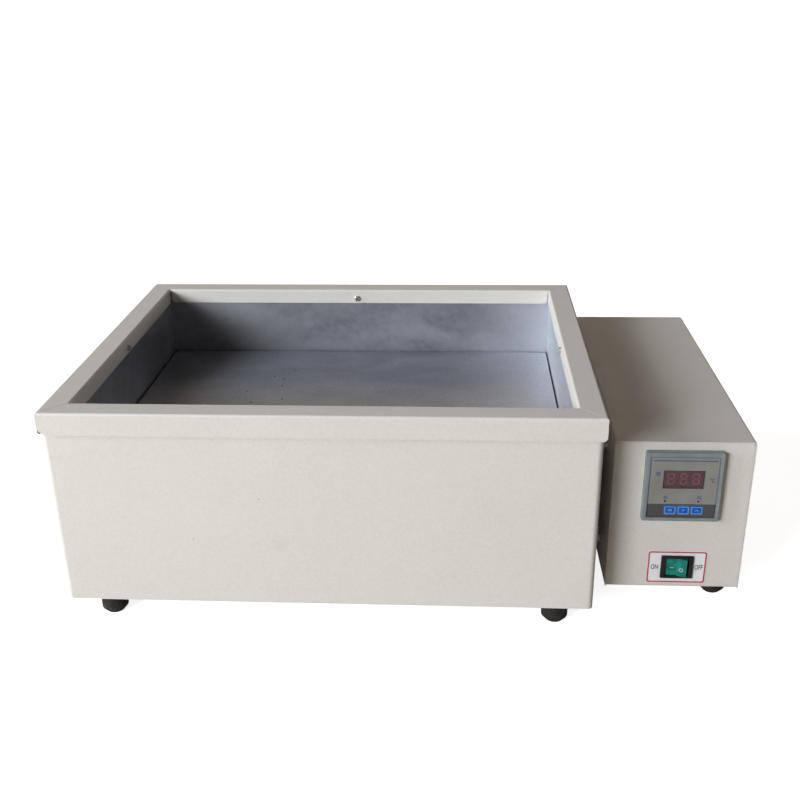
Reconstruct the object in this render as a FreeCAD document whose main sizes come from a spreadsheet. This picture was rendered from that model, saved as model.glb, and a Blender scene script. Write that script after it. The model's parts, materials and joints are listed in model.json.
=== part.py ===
# Electric water bath: an insulated sheet-steel bath with a lift-out floor plate, and a control box bolted
# to its right side.  Millimetres, +X to the right, +Y to the back, +Z up.  The origin is on the bench,
# under the middle of the whole object.
import FreeCAD, Part
import math
import os
import re

import Sketcher
from FreeCAD import Placement, Rotation, Vector

# Driving dimensions.  Places called *_x, *_y and *_z are measured from the left end, the front face and
# the bench; "reach" and "forward" mean towards the front of the control box.
DIMENSIONS = {
    # rim, folded from sheet
    "rim_width": 514.0,
    "rim_depth": 398.0,
    "rim_height": 233.0,
    "rim_strip": 24.6,
    "rim_sheet": 1.5,
    "rim_bend": 2.2,
    "outer_lip": 22.4,
    "inner_lip": 16.7,
    "outer_lip_cut": 6.5,
    "outer_lip_trim": 3.0,
    "inner_lip_gap": 1.2,
    "inner_lip_corner": 5.0,
    "rim_screw_drop": 11.0,
    "rim_mitre_gap": 0.3,
    # shell, back panel and base
    "rim_overhang": 2.5,
    "shell_sheet": 1.5,
    "shell_bend": 5.0,
    "back_flange": 16.0,
    "base_flange": 12.0,
    "base_clearance": 0.2,
    "vent_length": 60.0,
    "vent_width": 4.0,
    "vent_pitch": 12.0,
    # feet
    "foot_height": 33.0,
    "foot_top_radius": 13.6,
    "foot_knee_radius": 13.0,
    "foot_knee_z": 5.0,
    "foot_bottom_radius": 8.8,
    "foot_round": 1.2,
    "foot_recess_radius": 6.2,
    "foot_seat": 15.3,
    "foot_inset": 32.7,
    "box_foot_inset": 12.2,
    "box_foot_setback": 48.6,
    # tank and its floor plate
    "tank_sheet": 1.2,
    "tank_bend": 3.0,
    "tank_base_z": 75.0,
    "plate_top_z": 153.0,
    "plate_sheet": 2.0,
    "plate_gap": 0.7,
    "plate_shift": 0.35,
    "plate_corner": 3.0,
    "plate_notch_width": 10.0,
    "plate_notch_depth": 2.6,
    "plate_hole_radius": 1.3,
    "support_leg": 20.0,
    "support_inset": 26.0,
    "bearer_width": 30.0,
    "bearer_length": 430.0,
    "bearer_inset": 74.0,
    # heaters and probe, standing on the tank floor
    "heater_radius": 5.0,
    "heater_z": 105.0,
    "heater_bend": 16.0,
    "heater_pitch": 64.0,
    "heater_x": 440.0,
    "heater_far_x": 66.0,
    "heater_front_y": 88.0,
    "heater_rear_y": 246.0,
    "heater_collar_radius": 9.0,
    "heater_collar_height": 4.0,
    "heater_tail": 13.0,
    "gasket_height": 2.0,
    "heater_nut_width": 17.0,
    "heater_nut_height": 6.0,
    "terminal_radius": 1.6,
    "terminal_length": 7.0,
    "rest_x": 130.0,
    "rest_sheet": 2.0,
    "rest_margin": 12.0,
    "probe_radius": 3.0,
    "probe_length": 62.0,
    "probe_x": 425.0,
    "probe_y": 199.0,
    # insulation
    "insulation_air": 0.5,
    "insulation_z": 78.0,
    "base_slab_height": 30.0,
    # control box
    "box_left": 528.0,
    "box_front": 43.0,
    "box_width": 129.0,
    "box_depth": 356.0,
    "box_height": 158.0,
    "box_sheet": 1.2,
    "box_bend": 2.6,
    "box_seam": 0.2,
    "box_flange": 14.0,
    # bolts, spacers and conduit between bath and box
    "spacer_radius": 8.0,
    "bridge_front_y": 95.0,
    "bridge_rear_y": 345.0,
    "bridge_low_z": 60.0,
    "bridge_high_z": 165.0,
    "conduit_y": 215.0,
    "conduit_z": 60.0,
    "conduit_radius": 10.5,
    "conduit_bore": 8.0,
    "conduit_collar": 13.0,
    "conduit_tail": 6.0,
    "lead_radius": 3.2,
    "lead_bend": 20.0,
    "lead_drop": 24.0,
    # fasteners
    "bolt_radius": 3.0,
    "bolt_nut_width": 10.0,
    "bolt_nut_height": 5.0,
    "bolt_head_height": 4.0,
    "hole_clearance": 0.1,
    "screw_radius": 2.0,
    "screw_head_radius": 3.6,
    "screw_head_height": 2.2,
    "screw_length": 8.0,
    "cross_arm": 2.1,
    "cross_width": 0.9,
    "cross_depth": 1.2,
    # temperature controller
    "controller_x": 592.2,
    "controller_z": 146.8,
    "bezel_side": 72.0,
    "bezel_reach": 7.0,
    "bezel_corner": 1.6,
    "bezel_edge": 1.2,
    "bezel_opening": 64.6,
    "face_sheet": 1.5,
    "face_recess": 0.6,
    "face_gap": 0.1,
    "window_width": 38.0,
    "window_height": 19.0,
    "window_rise": 8.35,
    "window_sheet": 1.0,
    "window_recess": 0.2,
    "display_reach": 4.5,
    "display_margin": 0.8,
    "digit_pitch": 11.6,
    "digit_width": 6.6,
    "digit_height": 12.0,
    "segment_width": 1.3,
    "segment_gap": 0.3,
    "segment_sheet": 0.3,
    "lamp_radius": 0.9,
    "lamp_spread": 15.5,
    "lamp_drop": 14.5,
    "button_width": 11.3,
    "button_height": 9.0,
    "button_corner": 1.6,
    "button_drop": 23.8,
    "button_pitch": 12.5,
    "button_middle": 2.2,
    "button_proud": 0.6,
    "button_cap": 3.0,
    "button_edge": 0.4,
    "button_clearance": 0.2,
    "stem_radius": 1.5,
    "stem_length": 3.6,
    "key_switch_side": 6.0,
    "key_switch_height": 3.6,
    "board_side": 60.0,
    "board_sheet": 1.6,
    "board_setback": 4.4,
    "case_side": 67.0,
    "case_wall": 1.5,
    "case_length": 60.0,
    "case_cutout": 68.0,
    "clip_width": 12.0,
    "clip_length": 24.0,
    "clip_foot": 6.0,
    "clip_sheet": 2.0,
    "terminal_strip_height": 10.0,
    "terminal_strip_depth": 9.0,
    "terminal_pitch": 9.0,
    # rocker switch
    "switch_x": 595.6,
    "switch_z": 56.5,
    "label_width": 56.5,
    "label_height": 35.6,
    "label_drop": 0.6,
    "label_corner": 2.6,
    "label_sheet": 0.3,
    "switch_bezel_width": 31.0,
    "switch_bezel_height": 25.0,
    "switch_bezel_sheet": 2.0,
    "switch_bezel_corner": 1.0,
    "switch_bezel_edge": 0.7,
    "switch_body_width": 26.9,
    "switch_body_height": 21.9,
    "switch_body_depth": 22.0,
    "switch_cutout_gap": 0.25,
    "rocker_opening_width": 22.3,
    "rocker_opening_height": 19.3,
    "rocker_back_wall": 2.0,
    "rocker_width": 18.9,
    "rocker_end": 10.0,
    "rocker_tip": 4.4,
    "rocker_valley": 2.6,
    "rocker_flank": 10.7,
    "rocker_tail": 6.0,
    "rocker_edge": 0.5,
    "rocker_pivot": 1.5,
    "rocker_pin_radius": 1.5,
    "rocker_pin_length": 1.1,
    "rocker_pin_fit": 0.05,
    "neon_radius": 2.2,
    "neon_length": 12.0,
    "neon_setback": 15.0,
    "blade_width": 6.3,
    "blade_sheet": 0.8,
    "blade_length": 9.0,
    "blade_across": 8.0,
    "blade_up": 5.0,
    # parts on the floor of the control box
    "relay_width": 45.0,
    "relay_length": 58.0,
    "relay_height": 23.0,
    "relay_x": 592.0,
    "relay_y": 250.0,
    "relay_hole_spacing": 47.6,
    "relay_chamfer": 2.0,
    "relay_foot": 4.0,
    "block_width": 18.0,
    "block_length": 64.0,
    "block_height": 16.0,
    "block_x": 575.0,
    "block_y": 150.0,
    "block_pitch": 10.0,
    "block_well": 7.0,
    "stud_radius": 2.0,
    "stud_length": 14.0,
    "stud_nut_radius": 4.0,
    "stud_nut_height": 3.0,
    "stud_x": 630.0,
    "stud_y": 330.0,
    # cable gland in the back of the control box
    "gland_x": 620.0,
    "gland_z": 70.0,
    "gland_bore": 5.0,
    "gland_thread": 8.0,
    "gland_collar_radius": 11.0,
    "gland_collar_length": 5.0,
    "gland_neck_length": 6.0,
    "gland_tail_length": 8.0,
    "gland_dome_length": 12.0,
    "gland_seal_radius": 7.0,
    "gland_seal_length": 3.0,
    "gland_nut_width": 20.0,
    "gland_nut_height": 4.0,
    "thread_gap": 0.05,
}

# Small holes drilled in the floor plate, from the plate's left and front edges.
PLATE_HOLES = [
    (161.2, 281.7), (151.2, 254.7), (152.7, 233.7), (158.7, 195.7),
    (139.2, 261.7), (115.2, 217.2), (110.7, 198.2), (125.2, 186.2),
]
ROCKER_REST_DEGREES = -12.0
RIM_ANGLES = {"rim_front": 0.0, "rim_right": 90.0, "rim_back": 180.0, "rim_left": -90.0}
BACK_VENTS = 8
BASE_VENTS = 6
TERMINALS_PER_STRIP = 6
BLOCK_WELLS = 5
DIGIT_STEPS = (-1, 0, 1)
BUTTONS = {"button_set": -1, "button_down": 0, "button_up": 1}
TINY = 1e-4

# Turns that point a fastener's head, drawn towards its own +Z, along one of the object's directions.
HEAD_LEFT = Rotation(Vector(0, 1, 0), -90)
HEAD_RIGHT = Rotation(Vector(0, 1, 0), 90)
HEAD_FRONT = Rotation(Vector(1, 0, 0), 90)
HEAD_BACK = Rotation(Vector(1, 0, 0), -90)
HEAD_UP = Rotation()
HEAD_DOWN = Rotation(Vector(1, 0, 0), 180)

# Lengths worked out from the driving dimensions, as expressions.
SHELL_WIDTH = "(rim_width - 2 * rim_overhang)"
SHELL_DEPTH = "(rim_depth - 2 * rim_overhang)"
FLANGE_Z = "(rim_height - rim_sheet - tank_sheet)"
TANK_INSET = "(rim_strip - rim_sheet - tank_sheet)"
TANK_WIDTH = f"(rim_width - 2 * {TANK_INSET})"
TANK_DEPTH = f"(rim_depth - 2 * {TANK_INSET})"
TANK_FLOOR_Z = "(tank_base_z + tank_sheet)"
PLATE_LEFT = "(rim_strip + plate_gap)"
PLATE_WIDTH = f"(rim_width - 2 * {PLATE_LEFT})"
PLATE_DEPTH = f"(rim_depth - 2 * {PLATE_LEFT})"
WALL_INSIDE = "(rim_overhang + shell_sheet)"
SLAB_SHEET = f"({TANK_INSET} - {WALL_INSIDE} - 2 * insulation_air)"
SLAB_HEIGHT = "(rim_height - rim_screw_drop - 2 * screw_radius - insulation_z)"
BASE_TOP_Z = "(foot_height + shell_sheet)"
SHELL_RIGHT = "(rim_width - rim_overhang)"
BRIDGE_GAP = f"(box_left - {SHELL_RIGHT})"
BOX_BACK = "(box_front + box_depth)"
BOX_RIGHT = "(box_left + box_width)"
CHASSIS_INSET = "(box_sheet + box_seam)"
BOX_FLOOR_Z = "(foot_height + box_sheet)"
SCREW_HOLE = "(screw_radius + hole_clearance)"
BOLT_HOLE = "(bolt_radius + hole_clearance)"
CONDUIT_HOLE = "(conduit_radius + hole_clearance)"
SWITCH_CUTOUT_WIDTH = "(switch_body_width + 2 * switch_cutout_gap)"
SWITCH_CUTOUT_HEIGHT = "(switch_body_height + 2 * switch_cutout_gap)"
FACE_BACK = "(bezel_reach - face_recess - face_sheet)"
GLAND_END = f"({BOX_BACK} + gland_collar_length + gland_dome_length)"
ORIGIN_X = f"(({BOX_RIGHT} + screw_head_height) / 2)"
ORIGIN_Y = f"({GLAND_END} / 2)"

DOC = FreeCAD.newDocument("WaterBath")
SHEET = DOC.addObject("Spreadsheet::Sheet", "Dimensions")
WORD = re.compile(r"[a-z][a-z0-9_]*")


# ---- Drawing helpers ----

def fill_sheet():
    """One row for each driving dimension: its word and its value, with the word as the cell's alias."""
    for row, (word, value) in enumerate(DIMENSIONS.items(), 1):
        SHEET.set(f"A{row}", word)
        SHEET.set(f"B{row}", str(value))
        SHEET.setAlias(f"B{row}", word)
    DOC.recompute()


def size(word):
    """Value of one driving dimension."""
    return float(getattr(SHEET, word))


def bound(text):
    """Expression in which each driving dimension's word points at its cell."""
    def cell(match):
        word = match.group()
        return f"Dimensions.{word}" if word in DIMENSIONS else word
    return WORD.sub(cell, text)


def bind(item, prop, text):
    """Tie a property to an expression on the driving dimensions."""
    item.setExpression(prop, bound(text))


def place(item, across, back, up, turn=HEAD_UP):
    """Put a piece at a place measured from the left end, the front face and the bench."""
    item.Placement = Placement(Vector(), turn)
    bind(item, "Placement.Base.x", f"{across} - {ORIGIN_X}")
    bind(item, "Placement.Base.y", f"{back} - {ORIGIN_Y}")
    bind(item, "Placement.Base.z", up)
    return item


def new_body(label):
    return DOC.addObject("PartDesign::Body", label)


def sketch_on(body, role, offset="0"):
    """Sketch on one of the body's origin planes, moved along the plane's normal."""
    sketch = body.newObject("Sketcher::SketchObject", f"{body.Label}_sketch")
    plane = next(item for item in body.Origin.OriginFeatures if item.Role == role)
    sketch.AttachmentSupport = [(plane, "")]
    sketch.MapMode = "FlatFace"
    bind(sketch, "AttachmentOffset.Base.z", offset)
    return sketch


def fix_point(sketch, edge, point, across, up):
    """Fix a point of a sketch by its two distances from the sketch's origin."""
    for kind, text in (("DistanceX", across), ("DistanceY", up)):
        number = sketch.addConstraint(Sketcher.Constraint(kind, -1, 1, edge, point, 1.0))
        bind(sketch, f"Constraints[{number}]", text)


def polygon(sketch, corners):
    """Closed outline of straight lines through the corners."""
    first = sketch.GeometryCount
    count = len(corners)
    for step in range(count):
        start = Vector(step, step * step, 0)
        end = Vector(step + 1, (step + 1) ** 2, 0)
        sketch.addGeometry(Part.LineSegment(start, end), False)
    for step, (across, up) in enumerate(corners):
        before = first + (step - 1) % count
        sketch.addConstraint(Sketcher.Constraint("Coincident", before, 2, first + step, 1))
        fix_point(sketch, first + step, 1, across, up)


def rectangle(sketch, left, low, right, high):
    polygon(sketch, [(left, low), (right, low), (right, high), (left, high)])


def centred_rectangle(sketch, width, height, across="0", up="0"):
    rectangle(sketch, f"{across} - ({width}) / 2", f"{up} - ({height}) / 2",
              f"{across} + ({width}) / 2", f"{up} + ({height}) / 2")


def circle(sketch, across, up, radius):
    number = sketch.addGeometry(Part.Circle(Vector(1, 1, 0), Vector(0, 0, 1), 1.0), False)
    fix_point(sketch, number, 3, across, up)
    limit = sketch.addConstraint(Sketcher.Constraint("Radius", number, 1.0))
    bind(sketch, f"Constraints[{limit}]", radius)


def hexagon(sketch, width):
    """Regular hexagon of the given width across flats, with two corners on the vertical axis."""
    half = f"({width}) / 2"
    side = f"({width}) / sqrt(3)"
    polygon(sketch, [(half, f"-{side} / 2"), (half, f"{side} / 2"), ("0", side),
                     (f"-{half}", f"{side} / 2"), (f"-{half}", f"-{side} / 2"), ("0", f"-{side}")])


def pad(body, sketch, length, backward=False):
    """Extrude along the sketch's normal, or backward against it."""
    feature = body.newObject("PartDesign::Pad", f"{body.Label}_pad")
    feature.Profile = sketch
    bind(feature, "Length", length)
    feature.Reversed = backward
    body.Tip = feature
    DOC.recompute()


def pocket(body, sketch, depth, forward=False):
    """Cut against the sketch's normal, or forward along it; a cut that removes nothing is an error."""
    before = body.Tip.Shape.Volume
    feature = body.newObject("PartDesign::Pocket", f"{body.Label}_pocket")
    feature.Profile = sketch
    bind(feature, "Length", depth)
    feature.Reversed = forward
    body.Tip = feature
    DOC.recompute()
    if feature.Shape.Volume > before - TINY:
        raise ValueError(f"a pocket of {body.Label} cuts nothing")


def dress(body, kind, radius, test):
    """Fillet or chamfer the edges whose bounding box passes the test."""
    base = body.Tip
    edges = [f"Edge{number}" for number, edge in enumerate(base.Shape.Edges, 1) if test(edge.BoundBox)]
    feature = body.newObject(f"PartDesign::{kind}", f"{body.Label}_{kind}")
    feature.Base = (base, edges)
    bind(feature, "Radius" if kind == "Fillet" else "Size", radius)
    body.Tip = feature
    DOC.recompute()


def turned(label, outline):
    """Body of revolution about its own Z axis; the outline's corners are (radius, height)."""
    body = new_body(label)
    sketch = sketch_on(body, "XZ_Plane")
    polygon(sketch, outline)
    feature = body.newObject("PartDesign::Revolution", f"{label}_turn")
    feature.Profile = sketch
    feature.ReferenceAxis = (sketch, ["V_Axis"])
    feature.Angle = 360
    body.Tip = feature
    DOC.recompute()
    return body


def ring(label, inner, outer, length):
    return turned(label, [(inner, "0"), (outer, "0"), (outer, length), (inner, length)])


def block(label, sizes, at):
    """Plain rectangular piece; its place is its low left front corner."""
    box = DOC.addObject("Part::Box", label)
    for prop, text in zip(("Length", "Width", "Height"), sizes):
        bind(box, prop, text)
    return place(box, *at)


def group(label, seed, places):
    """Identical pieces in one node: copies of a seed, each at its own place and turn."""
    copies = []
    for across, back, up, turn in places:
        copy = DOC.addObject("App::Link", f"{label}_copy")
        copy.LinkedObject = seed
        copies.append(place(copy, across, back, up, turn))
    compound = DOC.addObject("Part::Compound", label)
    compound.Links = copies
    return compound


def vertical(box):
    """True for an edge that runs along Z."""
    return box.ZLength > TINY and box.XLength < TINY and box.YLength < TINY


def lengthwise(box):
    """True for an edge that runs along X."""
    return box.XLength > TINY and box.YLength < TINY and box.ZLength < TINY


def depthwise(box):
    """True for an edge that runs along Y."""
    return box.YLength > TINY and box.XLength < TINY and box.ZLength < TINY


# ---- Places shared by holes and the fasteners in them ----

def corner_pairs(left, right, front, back):
    return [(across, deep) for across in (left, right) for deep in (front, back)]


BRIDGE_PLACES = corner_pairs("bridge_front_y", "bridge_rear_y", "bridge_low_z", "bridge_high_z")
BATH_FEET = corner_pairs("(rim_overhang + foot_inset)", "(rim_width - rim_overhang - foot_inset)",
                         "(rim_overhang + foot_inset)", "(rim_depth - rim_overhang - foot_inset)")
BOX_FEET = [(f"({BOX_RIGHT} - box_foot_inset)", "(box_front + box_foot_setback)"),
            (f"({BOX_RIGHT} - box_foot_inset)", f"({BOX_BACK} - box_foot_setback)")]
BACK_SCREWS = corner_pairs("(rim_overhang + back_flange / 2 + shell_sheet)",
                           "(rim_width - rim_overhang - back_flange / 2 - shell_sheet)",
                           "(foot_height + 3 * base_flange)", "(rim_height - 3 * base_flange)")
COVER_SCREWS = [(back, "(foot_height + box_flange / 2 + box_sheet)")
                for back in ("(box_front + 5 * box_flange)", f"({BOX_BACK} - 5 * box_flange)")]
RELAY_SCREWS = [("relay_x", f"(relay_y + {side} * relay_hole_spacing / 2)") for side in (-1, 1)]
HEATER_LEGS = [("heater_x", f"({start} + {side})")
               for start in ("heater_front_y", "heater_rear_y") for side in ("0", "heater_pitch")]


# ---- Bath: shell, back, base, rim ----

def outer_shell():
    """One sheet bent round the front and both sides, with flanges turned in at the back."""
    body = new_body("outer_shell")
    height = f"({FLANGE_Z} - foot_height)"
    depth = f"({SHELL_DEPTH} - shell_sheet)"
    outline = sketch_on(body, "XY_Plane")
    rectangle(outline, "0", "0", SHELL_WIDTH, depth)
    pad(body, outline, height)
    dress(body, "Fillet", "shell_bend", lambda box: vertical(box) and box.YMax < TINY)
    hollow = sketch_on(body, "XY_Plane", height)
    rectangle(hollow, "shell_sheet", "shell_sheet", f"{SHELL_WIDTH} - shell_sheet", f"{depth} - shell_sheet")
    pocket(body, hollow, height)
    inside = size("shell_sheet")
    dress(body, "Fillet", "(shell_bend - shell_sheet)",
          lambda box: vertical(box) and abs(box.YMax - inside) < TINY and box.XMin > TINY)
    opening = sketch_on(body, "XZ_Plane", f"-({depth} - 2 * shell_sheet)")
    rectangle(opening, "back_flange", "0", f"{SHELL_WIDTH} - back_flange", height)
    pocket(body, opening, "3 * shell_sheet")
    side_holes = sketch_on(body, "YZ_Plane", SHELL_WIDTH)
    for back, up in BRIDGE_PLACES:
        circle(side_holes, f"{back} - rim_overhang", f"{up} - foot_height", BOLT_HOLE)
    circle(side_holes, "conduit_y - rim_overhang", "conduit_z - foot_height", CONDUIT_HOLE)
    pocket(body, side_holes, "2 * shell_sheet")
    screws = sketch_on(body, "XZ_Plane", f"-({depth} - 2 * shell_sheet)")
    for across, up in BACK_SCREWS:
        circle(screws, f"{across} - rim_overhang", f"{up} - foot_height", SCREW_HOLE)
    pocket(body, screws, "3 * shell_sheet")
    return place(body, "rim_overhang", "rim_overhang", "foot_height")


def back_panel():
    """Flat sheet screwed over the shell's back flanges."""
    body = new_body("back_panel")
    sheet = sketch_on(body, "XZ_Plane")
    rectangle(sheet, "0", "0", SHELL_WIDTH, f"{FLANGE_Z} - foot_height")
    for across, up in BACK_SCREWS:
        circle(sheet, f"{across} - rim_overhang", f"{up} - foot_height", SCREW_HOLE)
    pad(body, sheet, "shell_sheet")
    return place(body, "rim_overhang", f"rim_overhang + {SHELL_DEPTH}", "foot_height")


def base_plate():
    """Tray with its edges turned up inside the shell, drilled for the feet and slotted for air."""
    body = new_body("base_plate")
    inset = "(shell_sheet + base_clearance)"
    width = f"({SHELL_WIDTH} - 2 * {inset})"
    depth = f"({SHELL_DEPTH} - shell_sheet - 2 * {inset})"
    outline = sketch_on(body, "XY_Plane")
    rectangle(outline, "0", "0", width, depth)
    pad(body, outline, "base_flange")
    dress(body, "Fillet", "shell_bend", vertical)
    hollow = sketch_on(body, "XY_Plane", "base_flange")
    rectangle(hollow, "shell_sheet", "shell_sheet", f"{width} - shell_sheet", f"{depth} - shell_sheet")
    pocket(body, hollow, "base_flange - shell_sheet")
    holes = sketch_on(body, "XY_Plane", "base_flange")
    for across, back in BATH_FEET:
        circle(holes, f"{across} - rim_overhang - {inset}", f"{back} - rim_overhang - {inset}", BOLT_HOLE)
    for number in range(BASE_VENTS):
        centred_rectangle(holes, "vent_width", "vent_length",
                          f"{width} / 2 + {number - (BASE_VENTS - 1) / 2} * vent_pitch", f"{depth} / 2")
    pocket(body, holes, "base_flange")
    return place(body, f"rim_overhang + {inset}", f"rim_overhang + {inset}", "foot_height")


def rim_strip(label, length, corner):
    """Folded channel along one side of the rim, mitred at both ends, with a screw hole in its inner lip."""
    body = new_body(label)
    inner = "(rim_strip - rim_sheet)"
    profile = sketch_on(body, "YZ_Plane")
    polygon(profile, [("0", "0"), ("rim_strip", "0"), ("rim_strip", "-inner_lip"), (inner, "-inner_lip"),
                      (inner, "-rim_sheet"), ("rim_sheet", "-rim_sheet"), ("rim_sheet", "-outer_lip"),
                      ("0", "-outer_lip")])
    pad(body, profile, length)
    dress(body, "Fillet", "rim_bend", lambda box: lengthwise(box) and box.ZMin > -TINY)
    sheet = size("rim_sheet")
    dress(body, "Fillet", "(rim_bend - rim_sheet)",
          lambda box: lengthwise(box) and abs(box.ZMin + sheet) < TINY)
    mitres = sketch_on(body, "XY_Plane")
    polygon(mitres, [("0", "0"), ("rim_mitre_gap", "0"), ("rim_strip + rim_mitre_gap", "rim_strip"),
                     ("0", "rim_strip")])
    polygon(mitres, [(length, "0"), (length, "rim_strip"),
                     (f"{length} - rim_strip - rim_mitre_gap", "rim_strip"),
                     (f"{length} - rim_mitre_gap", "0")])
    pocket(body, mitres, "outer_lip")
    lip_ends = sketch_on(body, "XZ_Plane", "-rim_strip / 2")
    reach = "(rim_strip + inner_lip_gap)"
    top = "(-2 * rim_bend)"
    rectangle(lip_ends, "0", "-outer_lip", reach, top)
    rectangle(lip_ends, f"{length} - {reach}", "-outer_lip", length, top)
    circle(lip_ends, f"{length} / 2", "-rim_screw_drop", SCREW_HOLE)
    pocket(body, lip_ends, "rim_strip")
    lip = size("inner_lip")
    dress(body, "Fillet", "inner_lip_corner",
          lambda box: depthwise(box) and abs(box.ZMin + lip) < TINY)
    corner_cuts = sketch_on(body, "XZ_Plane", "-rim_strip / 2")
    low = "-outer_lip"
    polygon(corner_cuts, [("0", low), ("outer_lip_cut", low), ("0", f"{low} + outer_lip_cut")])
    polygon(corner_cuts, [(length, low), (length, f"{low} + outer_lip_trim"),
                          (f"{length} - outer_lip_trim", low)])
    pocket(body, corner_cuts, "rim_strip", forward=True)
    across, back = corner
    return place(body, across, back, "rim_height", Rotation(Vector(0, 0, 1), RIM_ANGLES[label]))


def rim():
    return [
        rim_strip("rim_front", "rim_width", ("0", "0")),
        rim_strip("rim_right", "rim_depth", ("rim_width", "0")),
        rim_strip("rim_back", "rim_width", ("rim_width", "rim_depth")),
        rim_strip("rim_left", "rim_depth", ("0", "rim_depth")),
    ]


# ---- Tank, floor plate and what stands under it ----

def inner_tank():
    """Galvanised box with a flange turned out over the shell's top edge."""
    body = new_body("inner_tank")
    inset = f"({TANK_INSET} - rim_overhang)"
    height = "(rim_height - rim_sheet - tank_base_z)"
    walls = sketch_on(body, "XY_Plane")
    rectangle(walls, inset, inset, f"{inset} + {TANK_WIDTH}", f"{inset} + {TANK_DEPTH}")
    pad(body, walls, height)
    dress(body, "Fillet", "tank_bend", lambda box: vertical(box) or box.ZMax < TINY)
    flange = sketch_on(body, "XY_Plane", f"{height} - tank_sheet")
    rectangle(flange, "0", "0", SHELL_WIDTH, SHELL_DEPTH)
    pad(body, flange, "tank_sheet")
    hollow = sketch_on(body, "XY_Plane", height)
    inside = f"({inset} + tank_sheet)"
    rectangle(hollow, inside, inside, f"{inset} + {TANK_WIDTH} - tank_sheet",
              f"{inset} + {TANK_DEPTH} - tank_sheet")
    pocket(body, hollow, f"{height} - tank_sheet")
    whole = body.Tip.Shape.BoundBox
    top = whole.ZMax - TINY
    far_x = whole.XMax - TINY
    far_y = whole.YMax - TINY
    dress(body, "Fillet", "(rim_bend - rim_sheet + hole_clearance)",
          lambda box: box.ZMin > top and box.XMin > TINY and box.YMin > TINY
          and box.XMax < far_x and box.YMax < far_y)
    floor_holes = sketch_on(body, "XY_Plane", "2 * tank_sheet")
    for across, back in HEATER_LEGS:
        circle(floor_holes, f"{across} - rim_overhang", f"{back} - rim_overhang",
               "heater_radius + hole_clearance")
    circle(floor_holes, "probe_x - rim_overhang", "probe_y - rim_overhang", "probe_radius + hole_clearance")
    pocket(body, floor_holes, "3 * tank_sheet")
    level = "rim_height - rim_screw_drop - tank_base_z"
    front_back = sketch_on(body, "XZ_Plane")
    circle(front_back, f"{SHELL_WIDTH} / 2", level, SCREW_HOLE)
    pocket(body, front_back, SHELL_DEPTH)
    sides = sketch_on(body, "YZ_Plane", SHELL_WIDTH)
    circle(sides, f"{SHELL_DEPTH} / 2", level, SCREW_HOLE)
    pocket(body, sides, SHELL_WIDTH)
    return place(body, "rim_overhang", "rim_overhang", "tank_base_z")


def false_bottom_plate():
    """Loose floor plate that lifts out through the rim, notched to pass the rim's screws."""
    body = new_body("false_bottom_plate")
    sheet = sketch_on(body, "XY_Plane")
    rectangle(sheet, "0", "0", PLATE_WIDTH, PLATE_DEPTH)
    for across, back in PLATE_HOLES:
        circle(sheet, str(across), str(back), "plate_hole_radius")
    pad(body, sheet, "plate_sheet")
    far_x = body.Tip.Shape.BoundBox.XMax - TINY
    dress(body, "Fillet", "plate_corner",
          lambda box: vertical(box) and (box.XMin < TINY or box.XMin > far_x))
    notches = sketch_on(body, "XY_Plane", "plate_sheet")
    for back in ("0", PLATE_DEPTH):
        centred_rectangle(notches, "plate_notch_width", "2 * plate_notch_depth", f"{PLATE_WIDTH} / 2", back)
    for across in ("0", PLATE_WIDTH):
        centred_rectangle(notches, "2 * plate_notch_depth", "plate_notch_width", across, f"{PLATE_DEPTH} / 2")
    pocket(body, notches, "plate_sheet")
    return place(body, f"{PLATE_LEFT} + plate_shift", PLATE_LEFT, "plate_top_z - plate_sheet")


def plate_supports():
    """Four angle posts on the tank floor, one under each corner of the plate."""
    post = new_body("support_post")
    profile = sketch_on(post, "XY_Plane")
    polygon(profile, [("0", "0"), ("support_leg", "0"), ("support_leg", "plate_sheet"),
                      ("plate_sheet", "plate_sheet"), ("plate_sheet", "support_leg"), ("0", "support_leg")])
    pad(post, profile, f"plate_top_z - plate_sheet - {TANK_FLOOR_Z}")
    near = f"({TANK_INSET} + support_inset)"
    right = f"(rim_width - {near})"
    back = f"(rim_depth - {near})"
    return group("plate_supports", post, [
        (near, near, TANK_FLOOR_Z, Rotation(Vector(0, 0, 1), 0)),
        (right, near, TANK_FLOOR_Z, Rotation(Vector(0, 0, 1), 90)),
        (right, back, TANK_FLOOR_Z, Rotation(Vector(0, 0, 1), 180)),
        (near, back, TANK_FLOOR_Z, Rotation(Vector(0, 0, 1), 270)),
    ])


def tank_bearers():
    """Two channels on the base that carry the tank."""
    channel = new_body("bearer")
    height = f"(tank_base_z - {BASE_TOP_Z})"
    profile = sketch_on(channel, "YZ_Plane")
    polygon(profile, [("0", "0"), ("shell_sheet", "0"), ("shell_sheet", f"{height} - shell_sheet"),
                      ("bearer_width - shell_sheet", f"{height} - shell_sheet"),
                      ("bearer_width - shell_sheet", "0"), ("bearer_width", "0"),
                      ("bearer_width", height), ("0", height)])
    pad(channel, profile, "bearer_length")
    left = "(rim_width / 2 - bearer_length / 2)"
    return group("tank_bearers", channel, [
        (left, "bearer_inset - bearer_width", BASE_TOP_Z, HEAD_UP),
        (left, "rim_depth - bearer_inset", BASE_TOP_Z, HEAD_UP),
    ])


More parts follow.
